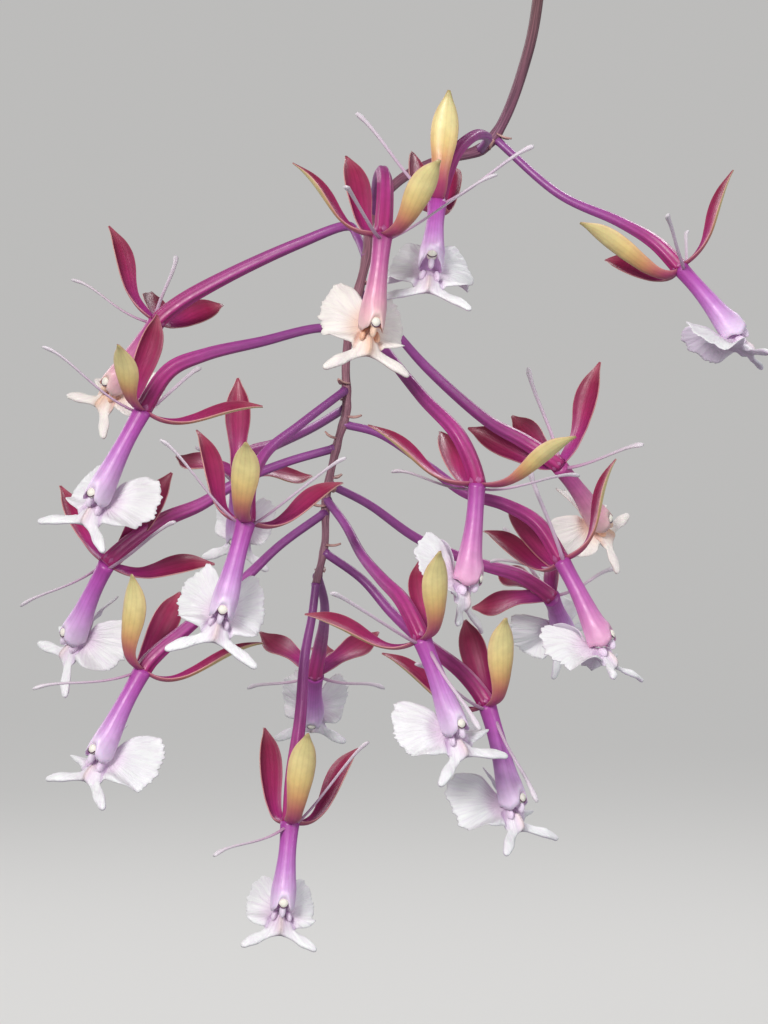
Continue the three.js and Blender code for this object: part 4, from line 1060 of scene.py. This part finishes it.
def add_leaf(piece, root, outward, length, draw):
    """A leathery leaf, folded along its midrib and clasping at its base."""
    across = unit(np.cross(outward, UP))
    t = np.linspace(0, 1, BLADE_ROWS)
    bends = ((0, 0), (0.3, 0.32), (0.7, 0.36 - LEAF_DROOP), (0.92, 0.15 - 1.7 * LEAF_DROOP))
    middle = bezier([root + length * (out * outward + up * UP) for out, up in bends], t)
    twist = (draw.uniform(-0.3, 0.3) * t)[:, None]
    lean = across * np.cos(twist) + np.cross(across, tangents(middle)) * np.sin(twist)
    half = LEAF_WIDTH / 2 * smooth(LEAF_WIDTHS, t)[:, None]
    v = np.linspace(-1, 1, BLADE_COLUMNS)
    rise = half * ((0.3 + 0.7 * np.exp(-t / 0.08))[:, None] * np.abs(v) ** 1.3 - 0.22)
    rise = rise + 0.35 * np.sin(16 * t + draw.uniform(0, 6))[:, None] * v**2 * np.sign(v)
    grid = blade_grid(middle, lean, half * v, np.cross(lean, tangents(middle)), rise)
    tint = mix(LEAF_TINTS, t)[:, None]
    over = between(tint, srgb(LEAF_EDGE_TINT), (draw.uniform(0, 0.35) * np.abs(v) ** 6)[:, None])
    over = between(over, srgb(MIDRIB_TINT), 0.55 * bell(v, 0.09)[:, None])
    under = between(tint, srgb(LEAF_BACK_TINT), 0.25) * np.ones(grid.shape)
    thickness = LEAF_THICKNESS * (1 - 0.4 * np.abs(v) ** 3) * np.ones((BLADE_ROWS, 1))
    grain = spread(thickness.shape, t[:, None] * length, v * half, draw.uniform(0, 99))
    add_blade(piece, grid, thickness, over, under, grain, grain)


def build_cane(number, way, turn, materials):
    """A reed stem in its overlapping sheaths, and its leaves in two ranks."""
    piece = Piece()
    draw = random.Random(40 + number)
    way = [np.array(way[0]) - CANE_SINK * UP, *way]
    places = np.linspace(0, 1, CANE_ROWS)
    line = spline(way, places)
    run = places * CANE_JOINTS
    swell = run % 1
    radii = np.interp(places, [0, 1], CANE_RADII) * (0.94 + 0.1 * swell**0.7)
    radii *= np.where(run > CANE_JOINTS - 0.04, 0.8, 1)
    tint = mix(CANE_TINTS, places) * (0.75 + 0.35 * swell)[:, None]
    grain = spread((CANE_ROWS, CANE_SIDES), places[:, None] * 170, np.arange(CANE_SIDES) / CANE_SIDES * 20, 0)
    add_tube(piece, line, np.array([1.0, 0.3, 0]), lambda i: circle(radii[i], CANE_SIDES), tint, grain, 1)
    lean = unit((line[-1] - line[0]) * (1, 1, 0))
    for i, place in enumerate(LEAF_PLACES):
        angle = radians(turn + 180 * (i % 2))
        outward = unit(np.array([cos(angle), sin(angle), 0]) + LEAF_LEAN * lean)
        root = spline(way, [place])[0] + 0.5 * CANE_RADII[1] * outward
        length = LEAF_LENGTH * (0.82 + 0.18 * sin(pi * i / (len(LEAF_PLACES) - 1)))
        add_leaf(piece, root, outward, length, draw)
    piece.build(f"fine_cane_{number}", materials, [f"cane_{number}"])


# Growing medium

BASKET_BOTTOM = -245
SLAT_LENGTH = 156
SLAT_WIDTH = 12
SLAT_HEIGHT = 14
SLAT_CHAMFER = 1.2
SLAT_LAYERS = 5
FLOOR_SLATS = 3
CORNER = 68
HOLE_RADIUS = 1.8
HOLE_SIDES = 24
SLAT_TINT = "#a57a4c"
SLAT_CELL = 4.0
GAP = 0.3
MEDIUM_HALF_WIDTH = 61
MEDIUM_EDGE_DROP = 3
MEDIUM_CROWN = 9
MEDIUM_RELIEF = 2.4
CORE_STEPS = 40
CORE_ROWS = 14
CORE_SINK = 2.2
TOP_CHIPS = 560
SIDE_CHIPS = 420
MOSS_CUSHIONS = 46
CHIP_REACH = 55
MOSS_REACH = 52
STEM_CLEARANCE = 8
CORE_TINT = "#3a2a1f"
BARK_TINTS = ("#5f4430", "#6f4f37", "#7c5a40", "#4c3626", "#86664a", "#69503c")
MOSS_TINTS = ("#5c7a32", "#6f8f3a", "#4c6a2c", "#86a04a")


def layer_bottom(layer):
    return BASKET_BOTTOM + layer * (SLAT_HEIGHT + GAP)


MEDIUM_BOTTOM = layer_bottom(2)
MEDIUM_RIM = layer_bottom(SLAT_LAYERS) - MEDIUM_EDGE_DROP


def medium_top(x, y):
    size = 2 * MEDIUM_HALF_WIDTH
    crown = MEDIUM_CROWN * (np.cos(1.4 * x / size) * np.cos(1.4 * y / size) - 0.4)
    lumps = np.sin(0.19 * x + 1.1 * np.sin(0.13 * y)) * np.cos(0.17 * y + 0.9 * np.sin(0.11 * x))
    return MEDIUM_RIM + crown + MEDIUM_RELIEF * lumps


def rough(points, scale, seed):
    shift = Vector((seed, 0, 0))
    return np.array([noise.fractal(Vector(point) * scale + shift, 0.6, 2.0, 4) for point in points])


def add_chip(piece, centre, facing, radii, shades, draw):
    """A chip of bark, flat side to facing: the hull of a box with knocked-off corners."""
    heading = draw.uniform(0, 6.3)
    third = unit(facing + np.array([draw.gauss(0, 0.28) for _ in range(3)]))
    first = unit(np.cross(third, np.array([sin(heading), cos(heading), 0.1])))
    axes = np.array([first, np.cross(third, first), third])
    tint = srgb(draw.choice(BARK_TINTS)) * draw.uniform(*shades)
    tidy = bmesh.new()
    for k in range(8):
        for n in range(3):
            cut = [
                (1 if k >> m & 1 else -1) * (0.62 if m == n else 1) * draw.uniform(0.82, 1.05)
                for m in range(3)
            ]
            tidy.verts.new(centre + np.multiply(cut, radii) @ axes)
    bmesh.ops.convex_hull(tidy, input=tidy.verts)
    bmesh.ops.delete(tidy, geom=[vert for vert in tidy.verts if not vert.link_faces], context="VERTS")
    tidy.verts.index_update()
    shape = np.array([vert.co for vert in tidy.verts])
    faces = [[vert.index for vert in face.verts] for face in tidy.faces]
    tidy.free()
    grain = (shape - centre) @ axes.T
    grain[:, 2] = [draw.uniform(0, 50) for _ in shape][0]
    piece.add(shape, faces, tint, grain)


def add_moss(piece, place, size, draw):
    """A cushion of moss: a low dome set with short pointed shoots."""
    points, faces, tints = [], [], []
    for start in range(0, 7 * int(size * size * 5), 7):
        reach = size * sqrt(draw.random())
        angle = draw.uniform(0, 2 * pi)
        out = np.array([cos(angle), sin(angle), 0])
        dome = 1.6 * (1 - (reach / size) ** 2)
        root = np.array([*place, medium_top(*place) - 0.8]) + out * reach + UP * dome
        aim = unit(UP + out * 0.9 * reach / size + np.array([draw.gauss(0, 0.35) for _ in range(3)]))
        side = unit(np.cross(aim, np.array([draw.gauss(0, 1) for _ in range(3)])))
        other = np.cross(aim, side)
        length, girth = draw.uniform(1.4, 2.8), draw.uniform(0.3, 0.5)
        for rise, wide, twist in ((0, 1, 0), (0.5, 1.25, 0.5)):
            for k in range(3):
                turn = 2 * pi * k / 3 + twist
                off = cos(turn) * side + sin(turn) * other
                points.append(root + aim * length * rise + wide * girth * off)
        points.append(root + aim * length)
        shoot = [[0, 1, 4, 3], [3, 4, 6], [1, 2, 5, 4], [4, 5, 6], [2, 0, 3, 5], [5, 3, 6], [2, 1, 0]]
        faces += [[start + i for i in face] for face in shoot]
        tint = srgb(draw.choice(MOSS_TINTS)) * draw.uniform(0.7, 1.15)
        # Each shoot is darker at its foot as painted shade where the shoots crowd, and paler at its tip
        tints += [tint * 0.5] * 3 + [tint] * 3 + [tint * 1.3]
    piece.add(points, faces, np.array(tints), slot=1)


def build_medium(materials):
    """The block of bark and moss: a rough core, chips over its top and sides, and moss cushions."""
    piece = Piece()
    draw = random.Random(11)
    half = MEDIUM_HALF_WIDTH - 1.5
    low = MEDIUM_BOTTOM + 0.5
    dark = srgb(CORE_TINT)
    span = np.linspace(-half, half, CORE_STEPS)
    x, y = np.meshgrid(span, span)
    top = spread(x.shape, x, y, medium_top(x, y) - CORE_SINK)
    top[:, 2] += 1.4 * rough(top, 0.12, 3)
    piece.add(top, grid_faces(CORE_STEPS, CORE_STEPS, False), dark, top * (1, 1, 0))
    sides = [(np.array([c, s]), np.array([s, -c])) for c, s in ((1, 0), (0, 1), (-1, 0), (0, -1))]
    for ahead, out in sides:
        x, y = (span[:, None] * ahead + half * out).T
        share = np.arange(CORE_ROWS)[:, None] / (CORE_ROWS - 1)
        wall = spread((CORE_ROWS, CORE_STEPS), x, y, between(low, medium_top(x, y) - CORE_SINK, share))
        push = np.abs(np.outer(0.9 * rough(wall, 0.13, 9), [*out, 0]))
        push[-CORE_STEPS:] = 0
        piece.add(wall + push, grid_faces(CORE_ROWS, CORE_STEPS, False), dark, wall)
    floor = [(sx * half, sy * half, low) for sx, sy in ((-1, -1), (1, -1), (1, 1), (-1, 1))]
    piece.add(floor, [[3, 2, 1, 0]], dark)
    stems = np.array([way[0][:2] for way in CANES])
    for _ in range(TOP_CHIPS):
        place = np.array([draw.uniform(-CHIP_REACH, CHIP_REACH) for _ in range(2)])
        if norm(stems - place, axis=1).min() < STEM_CLEARANCE:
            continue
        radii = (draw.uniform(3.5, 7.5), draw.uniform(2.2, 4.5), draw.uniform(0.9, 1.7))
        add_chip(piece, np.array([*place, medium_top(*place) - 1.2]), UP, radii, (0.7, 1.2), draw)
    for _ in range(SIDE_CHIPS):
        ahead, out = sides[draw.randrange(4)]
        edge = draw.uniform(-CHIP_REACH, CHIP_REACH) * ahead + (half - 0.4) * out
        radii = (draw.uniform(3, 7), draw.uniform(2.0, 4.5), draw.uniform(0.8, 1.4))
        level = draw.uniform(MEDIUM_BOTTOM + 4, medium_top(*edge) - 4)
        add_chip(piece, np.array([*edge, level]), np.array([*out, 0.0]), radii, (0.6, 1.1), draw)
    for _ in range(MOSS_CUSHIONS):
        place = np.array([draw.uniform(-MOSS_REACH, MOSS_REACH) for _ in range(2)])
        size = draw.uniform(4, 9)
        if norm(stems - place, axis=1).min() >= size + STEM_CLEARANCE / 2:
            add_moss(piece, place, size, draw)
    piece.build("bark_and_moss", materials, ["growing_medium"])


# Basket


def add_plate(piece, outline, profile, holes, shift, tint, cell):
    """A plate over an outline, upright: profile pairs each height with an inset, and holes run through it."""
    ahead = unit(np.roll(outline, -1, axis=0) - np.roll(outline, 1, axis=0))
    inward = ahead[:, ::-1] * (-1, 1)
    rings = [np.insert(outline + amount * inward, 2, height, axis=1) for height, amount in profile]
    wall = np.concatenate(rings)
    piece.add(wall, grid_faces(len(rings), len(outline), True), tint, wall + shift)
    for ring in (rings[0], rings[-1]):
        flat = ring[:, :2]
        low, high = flat.min(axis=0), flat.max(axis=0)
        lattice = np.arange(low[0] + cell, high[0], cell), np.arange(low[1] + cell, high[1] - cell / 2, cell)
        flat, faces = fill([flat, *holes], *lattice, 0, 0.4 * cell, 2)
        for hole in holes:
            centre = hole.mean(axis=0)
            reach = 0.98 * norm(hole[0] - centre)
            faces = [face for face in faces if norm(flat[face].mean(axis=0) - centre) > reach]
        cap = np.insert(flat, 2, ring[0, 2], axis=1)
        piece.add(cap, faces, tint, cap + shift)
    for hole in holes:
        ends = profile[0][0], profile[-1][0]
        tube = np.concatenate([np.insert(hole, 2, height, axis=1) for height in ends])
        # The hole's wall is painted at half the plate's tint: painted shade inside the hole
        piece.add(tube, grid_faces(2, len(hole), True), tint * 0.5, tube + shift)


def rectangle(length, width, step):
    """The outline of a rectangle centred on the origin, with points along its sides."""
    x = np.linspace(-length / 2, length / 2, int(length / step))
    y = np.linspace(-width / 2, width / 2, 5)
    sides = (x[:-1], y[0]), (x[-1], y[:-1]), (x[:0:-1], y[-1]), (x[0], y[:0:-1])
    return np.concatenate([np.stack(np.broadcast_arrays(*side), axis=1) for side in sides])


def build_slat(name, drilled, x, y, layer, crosswise, materials):
    piece = Piece()
    draw = random.Random(name)
    shift = draw.uniform(0, 300)
    h, c = SLAT_HEIGHT / 2, SLAT_CHAMFER
    profile = [
        (-h, c), (-h + 0.3 * c, 0.3 * c), (-h + c, 0), (0, 0), (h - c, 0), (h - 0.3 * c, 0.3 * c), (h, c)
    ]
    ring = circle(HOLE_RADIUS, HOLE_SIDES) * (1, -1)
    holes = [ring + (off, 0) for off in (-CORNER, CORNER)] if drilled else []
    tint = srgb(SLAT_TINT) * draw.uniform(0.85, 1.12)
    offset = shift * np.array([1, 0.37, 0.71])
    add_plate(piece, rectangle(SLAT_LENGTH, SLAT_WIDTH, 6), profile, holes, offset, tint, SLAT_CELL)
    points = np.concatenate(piece.points)
    sawn = noise_at(points * (0.03, 0.3, 0.3) + (shift, 0, 0))
    points = points * (1 - 0.012 * np.abs(sawn))[:, None] ** (0, 1, 1)
    if crosswise:
        points = points[:, (1, 0, 2)] * (-1, 1, 1)
    piece.points = [points + (x, y, layer_bottom(layer) + h)]
    piece.build(f"fine_{name}", materials, [name])


def build_basket(materials):
    """The stack's even layers run along X and its odd ones along Y. The floor's slats run along Y too."""
    for layer in range(SLAT_LAYERS):
        crosswise = layer % 2 == 1
        for side, off in zip(("left", "right") if crosswise else ("front", "back"), (-CORNER, CORNER)):
            x, y = (off, 0) if crosswise else (0, off)
            build_slat(f"slat_{side}_{layer + 1}", True, x, y, layer, crosswise, materials)
    for i in range(FLOOR_SLATS):
        x = (2 * (i + 1) / (FLOOR_SLATS + 1) - 1) * CORNER
        build_slat(f"slat_floor_{i + 1}", False, x, 0, 1, True, materials)


# Hanger

WIRE_RADIUS = 1.1
WIRE_FOOT = 9
WIRE_BEND = 3
HOOK_RADIUS = 10
HOOK_BAR_RADIUS = 1.7
HOOK_ROWS = 90
HOOK_SIDES = 20
HOOK_TIP = (0.97, 0.85, 0.55)
COLLAR_TOP = -36
COLLAR_HEIGHT = 14
COLLAR_RADIUS = 6.5
COLLAR_SIDES = 48
COLLAR_CELL = 1.2
COLLAR_HOLE_OFFSET = 2.6
COLLAR_HOLE_DEPTH = 9
STEEL_TINT = "#a9abab"


def rounded(points, reach):
    """A polyline with its corners rounded from reach before each to reach after it."""
    line = [points[0]]
    for before, corner, after in zip(points, points[1:], points[2:]):
        cut = min(reach, 0.45 * norm(before - corner), 0.45 * norm(after - corner))
        start, end = corner + cut * unit(before - corner), corner + cut * unit(after - corner)
        line += list(bezier([start, corner, end], np.linspace(0, 1, 6)))
    return np.array([*line, points[-1]])


def build_wire(sides, signs, materials):
    """A wire through a basket's corner, bent under it, and up into the collar."""
    foot = BASKET_BOTTOM - WIRE_RADIUS - GAP
    top = layer_bottom(SLAT_LAYERS) + 2
    bottom = COLLAR_TOP - COLLAR_HEIGHT
    way = [(CORNER - WIRE_FOOT, CORNER, foot), (CORNER - 1, CORNER, foot)]
    for off, z in (
        (CORNER, foot + 1), (CORNER, top), (CORNER - 1.5, top + 4), (COLLAR_HOLE_OFFSET + 1.5, bottom - 6),
        (COLLAR_HOLE_OFFSET, bottom - 3), (COLLAR_HOLE_OFFSET, bottom + COLLAR_HOLE_DEPTH - GAP)
    ):
        way.append((off, off, z))
    piece = Piece()
    line = rounded(np.array(way, float) * (*signs, 1), WIRE_BEND)
    add_tube(piece, line, np.array([0.3, 1.0, 0.2]), lambda i: circle(WIRE_RADIUS), srgb(STEEL_TINT))
    piece.build(f"fine_wire_{sides}", materials, [f"wire_{sides}"])


def build_hook(materials):
    """The hook and the collar that holds the wires' ends."""
    reach = HOOK_RADIUS
    arch = [(reach * cos(a), 0, HOOK_BAR_RADIUS - reach + reach * sin(a)) for a in np.linspace(pi, 0, 5)]
    way = [
        (0, 0, COLLAR_TOP - 3), (0, 0, COLLAR_TOP + 4), (-0.4 * reach, 0, -2.5 * reach),
        (-0.85 * reach, 0, -1.8 * reach), *arch, (1.05 * reach, 0, -1.4 * reach),
        (1.25 * reach, 0, -1.8 * reach)
    ]
    line = spline(way, np.linspace(0, 1, HOOK_ROWS))
    radii = np.full(len(line), HOOK_BAR_RADIUS)
    radii[-3:] *= HOOK_TIP
    piece = Piece()
    tint = srgb(STEEL_TINT)
    add_tube(piece, line, np.array([0, 1.0, 0]), lambda i: circle(radii[i], HOOK_SIDES), tint)
    h = COLLAR_HEIGHT / 2
    profile = [(-h, 1.0), (-h + 0.3, 0.3), (-h + 1, 0), (h - 2.2, 0), (h - 1, 0.4), (h - 0.3, 1.3), (h, 2.2)]
    ring = circle(WIRE_RADIUS + GAP) * (1, -1)
    holes = [ring + COLLAR_HOLE_OFFSET * np.array(signs) for signs in ((-1, -1), (-1, 1), (1, -1), (1, 1))]
    collar = Piece()
    add_plate(collar, circle(COLLAR_RADIUS, COLLAR_SIDES), profile, holes, 0, tint, COLLAR_CELL)
    points = np.concatenate(collar.points) + (COLLAR_TOP - h) * UP
    piece.add(points, collar.faces, np.concatenate(collar.tints), np.concatenate(collar.grains))
    piece.build("fine_hook", materials, ["hanger_hook"])


# Scene

# In metres
FLOOR_LEVEL = -0.66
WALL_DISTANCE = 4.6
SWEEP_RADIUS = 1.6
WALL_TOP = 5.0
FLOOR_SIDES = 64
LIGHT_AIM = (0, -0.1, -0.35)


def build_floor():
    """A pale floor that curves up into a backdrop all round. It takes no light from the object."""
    made = Finish(
        "pale_sweep", 0.85,
        Base_Color=(0.3, 0.295, 0.29, 1), Emission_Color=(1.0, 0.99, 0.97, 1), Emission_Strength=0.4
    )
    profile = [(0.01, FLOOR_LEVEL), (1.0, FLOOR_LEVEL)]
    for angle in np.linspace(0, pi / 2, 16):
        reach = WALL_DISTANCE - SWEEP_RADIUS * (1 - sin(angle))
        profile.append((reach, FLOOR_LEVEL + SWEEP_RADIUS * (1 - cos(angle))))
    profile.append((WALL_DISTANCE, WALL_TOP))
    points = [(x, y, z) for reach, z in profile for x, y in circle(reach, FLOOR_SIDES)]
    mesh = bpy.data.meshes.new("floor")
    mesh.from_pydata(points, [], grid_faces(len(profile), FLOOR_SIDES, True))
    mesh.materials.append(made.material)
    mesh.shade_smooth()
    floor = bpy.data.objects.new("floor", mesh)
    bpy.context.scene.collection.objects.link(floor)
    floor.visible_diffuse = floor.visible_glossy = floor.visible_shadow = False


def add_light(name, place, size, power, colour):
    light = bpy.data.lights.new(name, "AREA")
    light.shape = "DISK"
    light.size = size
    light.energy = power
    light.color = colour
    lamp = bpy.data.objects.new(name, light)
    lamp.location = place
    lamp.rotation_euler = (Vector(LIGHT_AIM) - Vector(place)).to_track_quat("-Z", "Y").to_euler()
    bpy.context.scene.collection.objects.link(lamp)


def build_lights():
    add_light("key", (-0.55, -1.6, 0.25), 0.5, 24, (1.0, 0.98, 0.96))
    add_light("fill", (1.3, -1.2, -0.2), 0.9, 8, (0.95, 0.97, 1.0))
    add_light("rim", (0.6, 1.0, 0.7), 0.7, 10, WHITE)
    add_light("back", (-1.0, 1.0, 0.1), 0.9, 6, WHITE)
    world = bpy.data.worlds.new("studio")
    world.use_nodes = True
    background = world.node_tree.nodes["Background"]
    background.inputs["Color"].default_value = (0.9, 0.92, 0.95, 1)
    background.inputs["Strength"].default_value = 0.3
    bpy.context.scene.world = world


def build_camera():
    """A level camera in front of the cluster, which frames it as the photograph does."""
    lens = bpy.data.cameras.new("camera")
    lens.sensor_fit = "VERTICAL"
    lens.sensor_height = 24
    lens.lens = lens.sensor_height * VIEWING_DISTANCE / VIEW_HEIGHT
    camera = bpy.data.objects.new("camera", lens)
    camera.location = (CLUSTER - np.array([0, VIEWING_DISTANCE, 0])) * MM
    camera.rotation_euler = (pi / 2, 0, 0)
    bpy.context.scene.collection.objects.link(camera)
    bpy.context.scene.camera = camera


tissue, lip_tissue, steel = tissue_material(), lip_material(), steel_material()
for number, bloom in enumerate(BLOOMS, 1):
    build_bloom(number, bloom, [tissue, tissue, lip_tissue])
    build_lip(number, bloom, [lip_tissue])
build_axis([axis_material()])
cane_materials = [leaf_material(), sheath_material()]
for number, (way, turn) in enumerate(zip(CANES, CANE_TURNS), 1):
    build_cane(number, way, turn, cane_materials)
build_medium([bark_material(), moss_material()])
build_basket([wood_material()])
for side_x, sign_x in (("left", -1), ("right", 1)):
    for side_y, sign_y in (("front", -1), ("back", 1)):
        build_wire(f"{side_y}_{side_x}", (sign_x, sign_y), [steel])
build_hook([steel])
build_floor()
build_lights()
build_camera()
bpy.context.scene.view_settings.view_transform = "Standard"
